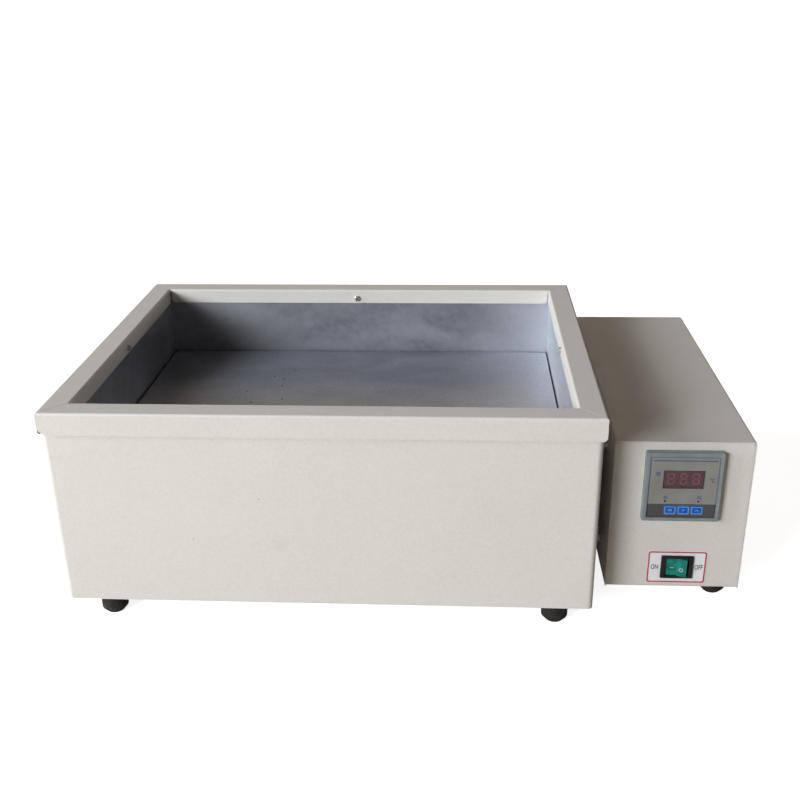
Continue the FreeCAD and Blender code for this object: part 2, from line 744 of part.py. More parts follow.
def bent_tube(points, bend, radius):
    """Round bar along straight runs joined by tangent arcs of one bend radius."""
    edges = []
    start = points[0]
    for before, corner, after in zip(points, points[1:], points[2:]):
        arriving = (corner - before).normalize()
        leaving = (after - corner).normalize()
        half_turn = arriving.getAngle(leaving) / 2
        setback = bend * math.tan(half_turn)
        inward = (leaving - arriving).normalize()
        arc_start = corner - arriving * setback
        arc_middle = corner + inward * (bend / math.cos(half_turn) - bend)
        arc_end = corner + leaving * setback
        edges.append(Part.LineSegment(start, arc_start).toShape())
        edges.append(Part.Arc(arc_start, arc_middle, arc_end).toShape())
        start = arc_end
    edges.append(Part.LineSegment(start, points[-1]).toShape())
    section = Part.Wire([Part.Circle(points[0], points[1] - points[0], radius).toShape()])
    return Part.Wire(edges).makePipeShell([section], True, False)


def heater(label, front_y):
    """Hairpin tube standing on the tank floor: up, out to the left, back, and down again."""
    piece = DOC.addObject("Part::Feature", label)
    reach = size("heater_x") - size("heater_far_x")
    rise = size("heater_z") - size("tank_base_z") - size("tank_sheet")
    tail = -size("heater_tail")
    pitch = size("heater_pitch")
    points = [Vector(0, 0, tail), Vector(0, 0, rise), Vector(-reach, 0, rise),
              Vector(-reach, pitch, rise), Vector(0, pitch, rise), Vector(0, pitch, tail)]
    tube = bent_tube(points, size("heater_bend"), size("heater_radius"))
    collar_radius = size("heater_collar_radius")
    collar_height = size("heater_collar_height")
    collars = [Part.makeCylinder(collar_radius, collar_height, Vector(0, back, 0)) for back in (0, pitch)]
    piece.Shape = tube.fuse(collars).removeSplitter()
    return place(piece, "heater_x", front_y, TANK_FLOOR_Z)


def heaters():
    return [heater("heater_front", "heater_front_y"), heater("heater_rear", "heater_rear_y")]


def under_floor(label, seed, top_z):
    """One piece on each heater leg, under the tank floor."""
    return group(label, seed, [(across, back, top_z, HEAD_UP) for across, back in HEATER_LEGS])


def heater_fittings():
    """Gasket, nut and terminal stud on each heater leg."""
    leg_hole = "(heater_radius + thread_gap)"
    gasket = ring("gasket", leg_hole, "heater_collar_radius", "gasket_height")
    nut = new_body("heater_nut")
    outline = sketch_on(nut, "XY_Plane")
    hexagon(outline, "heater_nut_width")
    circle(outline, "0", "0", leg_hole)
    pad(nut, outline, "heater_nut_height")
    stud = turned("heater_stud", [("0", "0"), ("terminal_radius", "0"),
                                  ("terminal_radius", "terminal_length"), ("0", "terminal_length")])
    gasket_z = "tank_base_z - gasket_height"
    return [
        under_floor("heater_gaskets", gasket, gasket_z),
        under_floor("heater_nuts", nut, f"{gasket_z} - heater_nut_height"),
        under_floor("heater_terminals", stud, f"{TANK_FLOOR_Z} - heater_tail - terminal_length"),
    ]


def heater_rests():
    """Sheet saddles that hold up the far end of each hairpin."""
    saddle = new_body("saddle")
    rise = f"(heater_z - {TANK_FLOOR_Z})"
    profile = sketch_on(saddle, "YZ_Plane")
    rectangle(profile, "-rest_margin", "0", "heater_pitch + rest_margin", rise)
    pad(saddle, profile, "rest_sheet")
    notches = sketch_on(saddle, "YZ_Plane", "rest_sheet")
    for back in ("0", "heater_pitch"):
        circle(notches, back, rise, "heater_radius + thread_gap")
    pocket(saddle, notches, "2 * rest_sheet")
    return group("heater_rests", saddle, [("rest_x", back, TANK_FLOOR_Z, HEAD_UP)
                                          for back in ("heater_front_y", "heater_rear_y")])


def sensor_probe():
    """Closed probe tube standing between the heaters, with a collar on the floor."""
    collar = "(2 * probe_radius)"
    return place(turned("sensor_probe", [
        ("0", "-heater_tail"), ("probe_radius", "-heater_tail"), ("probe_radius", "0"), (collar, "0"),
        (collar, "heater_collar_height"), ("probe_radius", "heater_collar_height"),
        ("probe_radius", "probe_length"), ("0", "probe_length"),
    ]), "probe_x", "probe_y", TANK_FLOOR_Z)


def probe_nut():
    nut = new_body("probe_nut")
    outline = sketch_on(nut, "XY_Plane")
    hexagon(outline, "4 * probe_radius")
    circle(outline, "0", "0", "probe_radius + thread_gap")
    pad(nut, outline, "bolt_nut_height")
    return place(nut, "probe_x", "probe_y", "tank_base_z - bolt_nut_height")


# ---- Insulation ----

def insulation():
    """Slabs between shell and tank; the right one is bored round the upper bolts."""
    outer = f"({WALL_INSIDE} + insulation_air)"
    inner = f"({outer} + {SLAB_SHEET} + insulation_air)"
    corner = f"({outer} + shell_bend)"
    full_width = f"(rim_width - 2 * {corner})"
    back_sheet = f"({SLAB_SHEET} - shell_sheet)"
    back_corner = "(rim_overhang + back_flange + insulation_air)"
    back_width = f"(rim_width - 2 * {back_corner})"
    between = f"(rim_depth - 2 * {inner})"
    right = new_body("insulation_right")
    profile = sketch_on(right, "YZ_Plane")
    rectangle(profile, "0", "0", between, SLAB_HEIGHT)
    for back in ("bridge_front_y", "bridge_rear_y"):
        circle(profile, f"{back} - {inner}", "bridge_high_z - insulation_z", "bolt_nut_width")
    pad(right, profile, SLAB_SHEET)
    base_y = "(bearer_inset + insulation_air)"
    return [
        block("insulation_front", (full_width, SLAB_SHEET, SLAB_HEIGHT), (corner, outer, "insulation_z")),
        block("insulation_back", (back_width, back_sheet, SLAB_HEIGHT),
              (back_corner, f"rim_depth - {outer} - {SLAB_SHEET}", "insulation_z")),
        block("insulation_left", (SLAB_SHEET, between, SLAB_HEIGHT), (outer, inner, "insulation_z")),
        place(right, f"rim_width - {outer} - {SLAB_SHEET}", inner, "insulation_z"),
        block("insulation_base", ("(heater_x - rim_width / 2 + bearer_length / 2 - 2 * bearer_width)",
                                  f"(rim_depth - 2 * {base_y})", "base_slab_height"),
              ("rim_width / 2 - bearer_length / 2", base_y, BASE_TOP_Z)),
    ]


# ---- Feet and fasteners ----

def rubber_feet():
    """Tapered feet, hollow underneath for the screw head: four under the bath, two under the box."""
    foot = turned("foot", [
        (BOLT_HOLE, "foot_seat"), (BOLT_HOLE, "foot_height"), ("foot_top_radius", "foot_height"),
        ("foot_knee_radius", "foot_knee_z"), ("foot_bottom_radius", "0"),
        ("foot_recess_radius", "0"), ("foot_recess_radius", "foot_seat"),
    ])
    bottom = size("foot_bottom_radius")
    top = size("foot_height")
    dress(foot, "Fillet", "foot_round", lambda box: box.ZMax < top - TINY and box.XMax > bottom - TINY)
    return group("rubber_feet", foot, [(across, back, "0", HEAD_UP) for across, back in BATH_FEET + BOX_FEET])


def bolt(label, length):
    """Hexagon-headed bolt, its head towards +Z and its seat at zero."""
    body = new_body(label)
    head = sketch_on(body, "XY_Plane")
    hexagon(head, "bolt_nut_width")
    pad(body, head, "bolt_head_height")
    shank = sketch_on(body, "XY_Plane")
    circle(shank, "0", "0", "bolt_radius")
    pad(body, shank, length, backward=True)
    return body


def hex_bolts():
    """Identical bolts through the feet and through the walls between bath and box."""
    grip = f"(box_sheet + {BRIDGE_GAP} + shell_sheet + bolt_nut_height + box_sheet)"
    seed = bolt("hex_bolt", grip)
    return group("hex_bolts", seed,
                 [(across, back, "foot_seat", HEAD_DOWN) for across, back in BATH_FEET + BOX_FEET]
                 + [("box_left + box_sheet", back, up, HEAD_RIGHT) for back, up in BRIDGE_PLACES])


def hex_nuts():
    """Nuts on the foot bolts and on the bolts between bath and box."""
    nut = new_body("hex_nut")
    outline = sketch_on(nut, "XY_Plane")
    hexagon(outline, "bolt_nut_width")
    circle(outline, "0", "0", "bolt_radius + thread_gap")
    pad(nut, outline, "bolt_nut_height")
    shell_inside = f"{SHELL_RIGHT} - shell_sheet"
    return group("hex_nuts", nut,
                 [(across, back, BASE_TOP_Z, HEAD_UP) for across, back in BATH_FEET]
                 + [(across, back, BOX_FLOOR_Z, HEAD_UP) for across, back in BOX_FEET]
                 + [(shell_inside, back, up, HEAD_LEFT) for back, up in BRIDGE_PLACES])


def pan_screw():
    """Pan-head screw with a cross recess, its head towards +Z and its seat at zero."""
    screw = turned("pan_screw", [
        ("0", "-screw_length"), ("screw_radius", "-screw_length"), ("screw_radius", "0"),
        ("screw_head_radius", "0"), ("screw_head_radius", "screw_head_height / 2"),
        ("screw_head_radius - screw_head_height / 2", "screw_head_height"), ("0", "screw_head_height"),
    ])
    cross = sketch_on(screw, "XY_Plane", "screw_head_height")
    arm = "cross_arm"
    half = "cross_width / 2"
    polygon(cross, [(arm, f"-{half}"), (arm, half), (half, half), (half, arm), (f"-{half}", arm),
                    (f"-{half}", half), (f"-{arm}", half), (f"-{arm}", f"-{half}"),
                    (f"-{half}", f"-{half}"), (f"-{half}", f"-{arm}"), (half, f"-{arm}"), (half, f"-{half}")])
    pocket(screw, cross, "cross_depth")
    return screw


def screws():
    """Rim screws, and the identical screws of the back panel, the box cover and the relay."""
    seed = pan_screw()
    middle_x = "rim_width / 2"
    middle_y = "rim_depth / 2"
    level = "rim_height - rim_screw_drop"
    far_x = "rim_width - rim_strip"
    far_y = "rim_depth - rim_strip"
    rim_places = [
        (middle_x, "rim_strip", level, HEAD_BACK), (middle_x, far_y, level, HEAD_FRONT),
        ("rim_strip", middle_y, level, HEAD_RIGHT), (far_x, middle_y, level, HEAD_LEFT),
    ]
    panel_places = [(across, f"rim_overhang + {SHELL_DEPTH}", up, HEAD_BACK) for across, up in BACK_SCREWS]
    panel_places += [(BOX_RIGHT, back, up, HEAD_RIGHT) for back, up in COVER_SCREWS]
    panel_places += [(across, back, f"{BOX_FLOOR_Z} + relay_foot", HEAD_UP) for across, back in RELAY_SCREWS]
    return [group("rim_screws", seed, rim_places), group("panel_screws", seed, panel_places)]


# ---- Between bath and control box ----

def bridge_spacers():
    spacer = ring("spacer", BOLT_HOLE, "spacer_radius", BRIDGE_GAP)
    places = [(SHELL_RIGHT, back, up, HEAD_RIGHT) for back, up in BRIDGE_PLACES]
    return group("bridge_spacers", spacer, places)


def wire_conduit():
    """Bush through both walls, with a collar that fills the gap between them."""
    tail = "conduit_tail"
    bush = turned("wire_conduit", [
        ("conduit_bore", f"-{tail}"), ("conduit_radius", f"-{tail}"), ("conduit_radius", "0"),
        ("conduit_collar", "0"), ("conduit_collar", BRIDGE_GAP), ("conduit_radius", BRIDGE_GAP),
        ("conduit_radius", f"{BRIDGE_GAP} + {tail}"), ("conduit_bore", f"{BRIDGE_GAP} + {tail}"),
    ])
    return place(bush, SHELL_RIGHT, "conduit_y", "conduit_z", HEAD_RIGHT)


def heater_leads():
    """Bundle of leads from the terminal block, through the conduit, to the space under the tank."""
    piece = DOC.addObject("Part::Feature", "heater_leads")
    entry = Vector(size("box_left") + size("lead_bend") - size("heater_x"), 0, 0)
    block_end = Vector(size("block_x") - size("heater_x"),
                       size("block_y") + size("block_length") / 2 + size("lead_radius") - size("conduit_y"),
                       size("block_height") / 2 - size("lead_drop"))
    piece.Shape = bent_tube([Vector(), entry, block_end], size("lead_bend") / 2, size("lead_radius"))
    return place(piece, "heater_x", "conduit_y", "conduit_z")


# ---- Control box: sheet metal ----

def control_cover():
    """Top and both sides of the box, bent from one sheet."""
    body = new_body("control_cover")
    inner_top = "(box_height - box_sheet)"
    inner_right = "(box_width - box_sheet)"
    profile = sketch_on(body, "XZ_Plane")
    polygon(profile, [("0", "0"), ("box_sheet", "0"), ("box_sheet", inner_top),
                      (inner_right, inner_top), (inner_right, "0"), ("box_width", "0"),
                      ("box_width", "box_height"), ("0", "box_height")])
    pad(body, profile, "box_depth", backward=True)
    top = size("box_height") - TINY
    inside = top - size("box_sheet")
    dress(body, "Fillet", "box_bend", lambda box: depthwise(box) and box.ZMin > top)
    dress(body, "Fillet", "(box_bend - box_sheet)", lambda box: depthwise(box) and inside < box.ZMin < top)
    left = sketch_on(body, "YZ_Plane", "box_sheet")
    for back, up in BRIDGE_PLACES:
        circle(left, f"{back} - box_front", f"{up} - foot_height", BOLT_HOLE)
    circle(left, "conduit_y - box_front", "conduit_z - foot_height", CONDUIT_HOLE)
    pocket(body, left, "2 * box_sheet")
    right = sketch_on(body, "YZ_Plane", "box_width")
    for back, up in COVER_SCREWS:
        circle(right, f"{back} - box_front", f"{up} - foot_height", SCREW_HOLE)
    pocket(body, right, "2 * box_sheet")
    return place(body, "box_left", "box_front", "foot_height")


def control_chassis():
    """Front, bottom and back of the box, bent from one sheet, with side flanges for the cover."""
    body = new_body("control_chassis")
    width = f"(box_width - 2 * {CHASSIS_INSET})"
    height = f"(box_height - {CHASSIS_INSET})"
    sheet = "box_sheet"
    inner_back = "(box_depth - box_sheet)"
    left = f"(box_left + {CHASSIS_INSET})"
    profile = sketch_on(body, "YZ_Plane")
    polygon(profile, [("0", "0"), ("box_depth", "0"), ("box_depth", height), (inner_back, height),
                      (inner_back, sheet), (sheet, sheet), (sheet, height), ("0", height)])
    pad(body, profile, width)
    thick = size(sheet)
    dress(body, "Fillet", "box_bend", lambda box: lengthwise(box) and box.ZMax < TINY)
    dress(body, "Fillet", "(box_bend - box_sheet)",
          lambda box: lengthwise(box) and abs(box.ZMin - thick) < TINY)
    top = size("box_height") - size("box_sheet") - size("box_seam") - TINY
    dress(body, "Fillet", "box_bend", lambda box: depthwise(box) and box.ZMin > top)
    flanges = sketch_on(body, "XY_Plane", "box_sheet")
    rectangle(flanges, "0", "box_flange", sheet, "box_depth - box_flange")
    rectangle(flanges, f"{width} - box_sheet", "box_flange", width, "box_depth - box_flange")
    pad(body, flanges, "box_flange - box_sheet")
    front = sketch_on(body, "XZ_Plane")
    centred_rectangle(front, "case_cutout", "case_cutout",
                      f"controller_x - {left}", "controller_z - foot_height")
    centred_rectangle(front, SWITCH_CUTOUT_WIDTH, SWITCH_CUTOUT_HEIGHT,
                      f"switch_x - {left}", "switch_z - foot_height")
    pocket(body, front, "2 * box_sheet")
    back = sketch_on(body, "XZ_Plane", "-box_depth")
    circle(back, f"gland_x - {left}", "gland_z - foot_height", "gland_thread + thread_gap")
    for number in range(BACK_VENTS):
        centred_rectangle(back, "vent_width", "vent_length / 2",
                          f"{width} / 2 + {number - (BACK_VENTS - 1) / 2} * vent_pitch", "3 * box_height / 4")
    pocket(body, back, "2 * box_sheet", forward=True)
    floor = sketch_on(body, "XY_Plane", "2 * box_sheet")
    for across, deep in BOX_FEET:
        circle(floor, f"{across} - {left}", f"{deep} - box_front", BOLT_HOLE)
    for across, deep in RELAY_SCREWS:
        circle(floor, f"{across} - {left}", f"{deep} - box_front", SCREW_HOLE)
    pocket(body, floor, "3 * box_sheet")
    side = sketch_on(body, "YZ_Plane", width)
    for deep, up in COVER_SCREWS:
        circle(side, f"{deep} - box_front", f"{up} - foot_height", SCREW_HOLE)
    pocket(body, side, "2 * box_sheet")
    return place(body, left, "box_front", "foot_height")


# ---- Temperature controller; sketches on XZ are offset by their distance forward of the box's front ----

def on_controller(item, across="0", up="0", turn=HEAD_UP):
    return place(item, f"controller_x + {across}", "box_front", f"controller_z + {up}", turn)


def controller_bezel():
    body = new_body("controller_bezel")
    outline = sketch_on(body, "XZ_Plane")
    centred_rectangle(outline, "bezel_side", "bezel_side")
    pad(body, outline, "bezel_reach")
    dress(body, "Fillet", "bezel_corner", depthwise)
    front = TINY - size("bezel_reach")
    dress(body, "Fillet", "bezel_edge", lambda box: box.YMax < front)
    opening = sketch_on(body, "XZ_Plane", "bezel_reach")
    centred_rectangle(opening, "bezel_opening", "bezel_opening")
    pocket(body, opening, "bezel_reach")
    return on_controller(body)


def controller_face():
    """Front plate with openings for the display, the lamps and the three buttons."""
    body = new_body("controller_face")
    side = "(bezel_opening - 2 * face_gap)"
    outline = sketch_on(body, "XZ_Plane", FACE_BACK)
    centred_rectangle(outline, side, side)
    centred_rectangle(outline, "window_width", "window_height", "0", "window_rise")
    for spread in ("-lamp_spread", "lamp_spread"):
        circle(outline, spread, "-lamp_drop", "lamp_radius + face_gap")
    for step in BUTTONS.values():
        centred_rectangle(outline, "button_width + 2 * button_clearance",
                          "button_height + 2 * button_clearance", button_across(step), "-button_drop")
    pad(body, outline, "face_sheet")
    drop = size("button_drop")
    rim_reach = size("button_height")
    dress(body, "Fillet", "button_corner",
          lambda box: depthwise(box) and abs(box.ZMin + drop) < rim_reach and abs(box.XMin) < drop)
    return on_controller(body)


def display_window():
    body = new_body("display_window")
    outline = sketch_on(body, "XZ_Plane", f"({FACE_BACK} + face_sheet - window_recess - window_sheet)")
    centred_rectangle(outline, "window_width - 2 * face_gap", "window_height - 2 * face_gap",
                      "0", "window_rise")
    pad(body, outline, "window_sheet")
    return on_controller(body)


def display_module():
    """Block behind the window that carries the digits' segments."""
    body = new_body("display_module")
    outline = sketch_on(body, "XZ_Plane", "-board_setback")
    centred_rectangle(outline, "window_width - 2 * display_margin", "window_height - 2 * display_margin",
                      "0", "window_rise")
    pad(body, outline, "board_setback + display_reach")
    return on_controller(body)


def segment_bar(across, up, width, height):
    """One bar of a digit, placed by its centre from the controller's centre."""
    return block("segment", (width, "segment_sheet", height),
                 (f"controller_x + {across} - {width} / 2", "box_front - display_reach - segment_sheet",
                  f"controller_z + window_rise + {up} - {height} / 2"))


def display_digits():
    """Three seven-segment digits, each bar a separate solid."""
    level_width = "(digit_width - 2 * segment_width)"
    upright_height = "(digit_height / 2 - segment_width - segment_gap)"
    edge = "(digit_height / 2 - segment_width / 2)"
    side = "(digit_width / 2 - segment_width / 2)"
    bars = []
    for digit in DIGIT_STEPS:
        centre = f"{digit} * digit_pitch"
        for up in (f"-{edge}", "0", edge):
            bars.append(segment_bar(centre, up, level_width, "segment_width"))
        for across in (f"-{side}", side):
            for up in ("-digit_height / 4", "digit_height / 4"):
                bars.append(segment_bar(f"{centre} + {across}", up, "segment_width", upright_height))
    compound = DOC.addObject("Part::Compound", "display_digits")
    compound.Links = bars
    return compound


def indicator_lamps():
    """Two small round-nosed lamps that reach from the board to the face."""
    length = f"(board_setback + {FACE_BACK} + face_sheet)"
    lamp = turned("lamp", [("0", "0"), ("lamp_radius", "0"), ("lamp_radius", f"{length} - lamp_radius / 2"),
                           ("lamp_radius / 2", length), ("0", length)])
    return group("indicator_lamps", lamp, [
        (f"controller_x + {spread}", "box_front + board_setback", "controller_z - lamp_drop", HEAD_FRONT)
        for spread in ("-lamp_spread", "lamp_spread")
    ])


def button_across(step):
    """Distance of a button's middle from the controller's middle."""
    return f"(button_middle + {step} * button_pitch)"


def button(label, step):
    """Cap with a stem behind it that presses the key switch on the board."""
    body = new_body(label)
    back = f"({FACE_BACK} + face_sheet + button_proud - button_cap)"
    outline = sketch_on(body, "XZ_Plane", back)
    centred_rectangle(outline, "button_width", "button_height")
    pad(body, outline, "button_cap")
    dress(body, "Fillet", "button_corner", depthwise)
    front = body.Tip.Shape.BoundBox.YMin + TINY
    dress(body, "Fillet", "button_edge", lambda box: box.YMax < front)
    stem = sketch_on(body, "XZ_Plane", back)
    circle(stem, "0", "0", "stem_radius")
    pad(body, stem, "stem_length", backward=True)
    return on_controller(body, button_across(step), "-button_drop")


def buttons():
    return [button(label, step) for label, step in BUTTONS.items()]


def key_switches():
    """One key switch on the board behind each button."""
    key = new_body("key_switch")
    outline = sketch_on(key, "XZ_Plane")
    centred_rectangle(outline, "key_switch_side", "key_switch_side")
    pad(key, outline, "key_switch_height")
    deep = "box_front + board_setback"
    return group("key_switches", key, [
        (f"controller_x + {button_across(step)}", deep, "controller_z - button_drop", HEAD_UP)
        for step in BUTTONS.values()
    ])


def controller_board():
    corner = ("controller_x - board_side / 2", "box_front + board_setback", "controller_z - board_side / 2")
    return block("controller_board", ("board_side", "board_sheet", "board_side"), corner)


def controller_case():
    """Open-fronted case that passes through the panel behind the bezel."""
    body = new_body("controller_case")
    outline = sketch_on(body, "XZ_Plane")
    centred_rectangle(outline, "case_side", "case_side")
    pad(body, outline, "case_length", backward=True)
    hollow = sketch_on(body, "XZ_Plane")
    inner = "case_side - 2 * case_wall"
    centred_rectangle(hollow, inner, inner)
    pocket(body, hollow, "case_length - case_wall")
    return on_controller(body)


def controller_clips():
    """Angle clips on the case's top and bottom that clamp it against the panel."""
    clip = new_body("clip")
    profile = sketch_on(clip, "YZ_Plane")
    polygon(profile, [("0", "0"), ("clip_length", "0"), ("clip_length", "clip_sheet"),
                      ("clip_sheet", "clip_sheet"), ("clip_sheet", "clip_foot"), ("0", "clip_foot")])
    pad(clip, profile, "clip_width")
    behind = "box_front + box_sheet"
    upside_down = Rotation(Vector(0, 1, 0), 180)
    return group("controller_clips", clip, [
        ("controller_x - clip_width / 2", behind, "controller_z + case_side / 2", HEAD_UP),
        ("controller_x + clip_width / 2", behind, "controller_z - case_side / 2", upside_down),
    ])


def controller_terminals():
    """Two terminal strips on the back of the case, with a well for each screw."""
    strip = new_body("terminal_strip")
    outline = sketch_on(strip, "XZ_Plane")
    centred_rectangle(outline, "board_side", "terminal_strip_height")
    pad(strip, outline, "terminal_strip_depth", backward=True)
    wells = sketch_on(strip, "XZ_Plane", "-terminal_strip_depth")
    for number in range(TERMINALS_PER_STRIP):
        across = f"{number - (TERMINALS_PER_STRIP - 1) / 2} * terminal_pitch"
        circle(wells, across, "0", "terminal_strip_height / 4")
    pocket(strip, wells, "terminal_strip_depth / 2", forward=True)
    return group("controller_terminals", strip, [
        ("controller_x", "box_front + case_length", f"controller_z + {side} * case_side / 4", HEAD_UP)
        for side in (-1, 1)
    ])


# ---- Rocker switch, drawn about its own middle ----

def on_switch(item):
    return place(item, "switch_x", "box_front", "switch_z")


def switch_label():
    """Thin plate under the switch's bezel."""
    body = new_body("switch_label")
    outline = sketch_on(body, "XZ_Plane")
    centred_rectangle(outline, "label_width", "label_height", "0", "-label_drop")
    centred_rectangle(outline, SWITCH_CUTOUT_WIDTH, SWITCH_CUTOUT_HEIGHT)
    pad(body, outline, "label_sheet")
    edge = size("label_width") / 2 - TINY
    dress(body, "Fillet", "label_corner", lambda box: depthwise(box) and abs(box.XMin) > edge)
    return on_switch(body)


def switch_housing():
    """Bezel and hollow body, with pin holes for the rocker above and below."""
    body = new_body("switch_housing")
    front = "(label_sheet + switch_bezel_sheet)"
    bezel = sketch_on(body, "XZ_Plane", "label_sheet")
    centred_rectangle(bezel, "switch_bezel_width", "switch_bezel_height")
    pad(body, bezel, "switch_bezel_sheet")
    dress(body, "Fillet", "switch_bezel_corner", depthwise)
    forward = TINY - size("label_sheet") - size("switch_bezel_sheet")
    dress(body, "Fillet", "switch_bezel_edge", lambda box: box.YMax < forward)
    barrel = sketch_on(body, "XZ_Plane", "label_sheet")
    centred_rectangle(barrel, "switch_body_width", "switch_body_height")
    pad(body, barrel, "label_sheet + switch_body_depth", backward=True)
    opening = sketch_on(body, "XZ_Plane", front)
    centred_rectangle(opening, "rocker_opening_width", "rocker_opening_height")
    pocket(body, opening, f"{front} + switch_body_depth - rocker_back_wall")
    pins = sketch_on(body, "XY_Plane", "switch_body_height")
    circle(pins, "0", "rocker_pivot", "rocker_pin_radius + rocker_pin_fit")
    pocket(body, pins, "2 * switch_body_height")
    return on_switch(body)


def switch_rocker():
    """Rocker with a shallow V front, drawn about its pivot and resting with its left side pressed."""
    body = new_body("switch_rocker")
    profile = sketch_on(body, "XY_Plane", "-rocker_width / 2")
    end = "rocker_end"
    tail = "0.9 * rocker_end"
    polygon(profile, [(end, "-rocker_tip"), ("rocker_flank", "0"), (tail, "rocker_tail"),
                      (f"-{tail}", "rocker_tail"), ("-rocker_flank", "0"), (f"-{end}", "-rocker_tip"),
                      ("0", "-rocker_valley")])
    pad(body, profile, "rocker_width")
    tips = TINY - size("rocker_tip")
    dress(body, "Fillet", "rocker_edge", lambda box: vertical(box) and box.YMax < tips)
    pins = sketch_on(body, "XY_Plane", "-(rocker_width / 2 + rocker_pin_length)")
    circle(pins, "0", "0", "rocker_pin_radius")
    pad(body, pins, "rocker_width + 2 * rocker_pin_length")
    return place(body, "switch_x", "box_front + rocker_pivot", "switch_z",
                 Rotation(Vector(0, 0, 1), ROCKER_REST_DEGREES))


def switch_lamp():
    """Neon lamp standing behind the rocker."""
    lamp = turned("switch_lamp", [("0", "0"), ("neon_radius", "0"), ("neon_radius", "neon_length"),
                                  ("0", "neon_length")])
    return place(lamp, "switch_x", "box_front + neon_setback", "switch_z - neon_length / 2")


def switch_terminals():
    blade = new_body("blade")
    outline = sketch_on(blade, "XZ_Plane")
    centred_rectangle(outline, "blade_sheet", "blade_width")
    pad(blade, outline, "blade_length", backward=True)
    deep = "box_front + switch_body_depth"
    return group("switch_terminals", blade, [
        (f"switch_x + {across} * blade_across", deep, f"switch_z + {up} * blade_up", HEAD_UP)
        for across in (-1, 1) for up in (-1, 1)
    ])


# ---- On the floor of the control box ----

def solid_state_relay():
    """Moulded block with a screw foot at each end and four terminal wells on top."""
    body = new_body("solid_state_relay")
    outline = sketch_on(body, "XY_Plane")
    centred_rectangle(outline, "relay_width", "relay_length")
    pad(body, outline, "relay_height")
    top = size("relay_height") - TINY
    dress(body, "Chamfer", "relay_chamfer", lambda box: box.ZMin > top)
    ends = sketch_on(body, "XY_Plane", "relay_height")
    wells = sketch_on(body, "XY_Plane", "relay_height")
    feet = sketch_on(body, "XY_Plane", "relay_height")
    for side in (-1, 1):
        notch = "relay_length - relay_hole_spacing + 3 * screw_head_radius"
        centred_rectangle(ends, "4 * screw_head_radius", notch, "0", f"{side} * relay_length / 2")
        circle(feet, "0", f"{side} * relay_hole_spacing / 2", SCREW_HOLE)
        for across in (-1, 1):
            circle(wells, f"{across} * relay_width / 3", f"{side} * relay_length / 3", "relay_foot")
    pocket(body, ends, "relay_height - relay_foot")
    pocket(body, wells, "relay_foot")
    pocket(body, feet, "relay_height")
    return place(body, "relay_x", "relay_y", BOX_FLOOR_Z)


def terminal_block():
    body = new_body("terminal_block")
    outline = sketch_on(body, "XY_Plane")
    centred_rectangle(outline, "block_width", "block_length")
    pad(body, outline, "block_height")
    wells = sketch_on(body, "XY_Plane", "block_height")
    for number in range(BLOCK_WELLS):
        centred_rectangle(wells, "block_width - block_well", "block_well",
                          "0", f"{number - (BLOCK_WELLS - 1) / 2} * block_pitch")
    pocket(body, wells, "block_height / 2")
    return place(body, "block_x", "block_y", BOX_FLOOR_Z)


def earth_stud():
    return place(turned("earth_stud", [
        ("0", "0"), ("stud_nut_radius", "0"), ("stud_nut_radius", "stud_nut_height"),
        ("stud_radius", "stud_nut_height"), ("stud_radius", "stud_length"), ("0", "stud_length"),
    ]), "stud_x", "stud_y", BOX_FLOOR_Z)


# ---- Cable gland, drawn with its outlet towards +Z and the back panel's outside at zero ----

def cable_gland():
    """Threaded body, sealing ring, dome nut and lock nut, all with one clear bore."""
    bore = "gland_bore"
    collar = "gland_collar_length"
    neck_end = "(gland_collar_length + gland_neck_length)"
    seal_end = f"({neck_end} + gland_seal_length)"
    dome_end = "(gland_collar_length + gland_dome_length)"
    socket = "(gland_thread + thread_gap)"
    dome = "(gland_collar_radius - gland_bore / 10)"
    pieces = [
        turned("gland_body", [
            (bore, "-gland_tail_length"), ("gland_thread", "-gland_tail_length"), ("gland_thread", "0"),
            ("gland_collar_radius", "0"), ("gland_collar_radius", collar), ("gland_thread", collar),
            ("gland_thread", neck_end), (bore, neck_end),
        ]),
        turned("gland_seal", [
            (bore, neck_end), ("gland_seal_radius", neck_end),
            ("gland_seal_radius", seal_end), (bore, seal_end),
        ]),
        turned("gland_dome_nut", [
            (socket, collar), (dome, collar), (dome, neck_end), (f"({bore} + {dome}) / 2", dome_end),
            (bore, dome_end), (bore, seal_end), (socket, seal_end),
        ]),
    ]
    lock_nut = new_body("gland_lock_nut")
    outline = sketch_on(lock_nut, "XY_Plane", "-(box_sheet + gland_nut_height)")
    hexagon(outline, "gland_nut_width")
    circle(outline, "0", "0", socket)
    pad(lock_nut, outline, "gland_nut_height")
    return [place(piece, "gland_x", BOX_BACK, "gland_z", HEAD_BACK) for piece in pieces + [lock_nut]]


# ---- The whole object ----

def build():
    """Every sub-part of the object, in the order it would be put together."""
    return [
        outer_shell(), back_panel(), base_plate(), *rim(), inner_tank(), false_bottom_plate(),
        plate_supports(), tank_bearers(), *heaters(), *heater_fittings(), heater_rests(), sensor_probe(),
        probe_nut(), *insulation(), rubber_feet(), hex_bolts(), hex_nuts(), *screws(), bridge_spacers(),
        wire_conduit(),
        heater_leads(), control_chassis(), control_cover(), controller_bezel(), controller_face(),
        display_window(), display_module(), display_digits(), indicator_lamps(), *buttons(), key_switches(),
        controller_board(), controller_case(), controller_clips(), controller_terminals(), switch_label(),
        switch_housing(), switch_rocker(), switch_lamp(), switch_terminals(), solid_state_relay(),
        terminal_block(), earth_stud(), *cable_gland(),
    ]


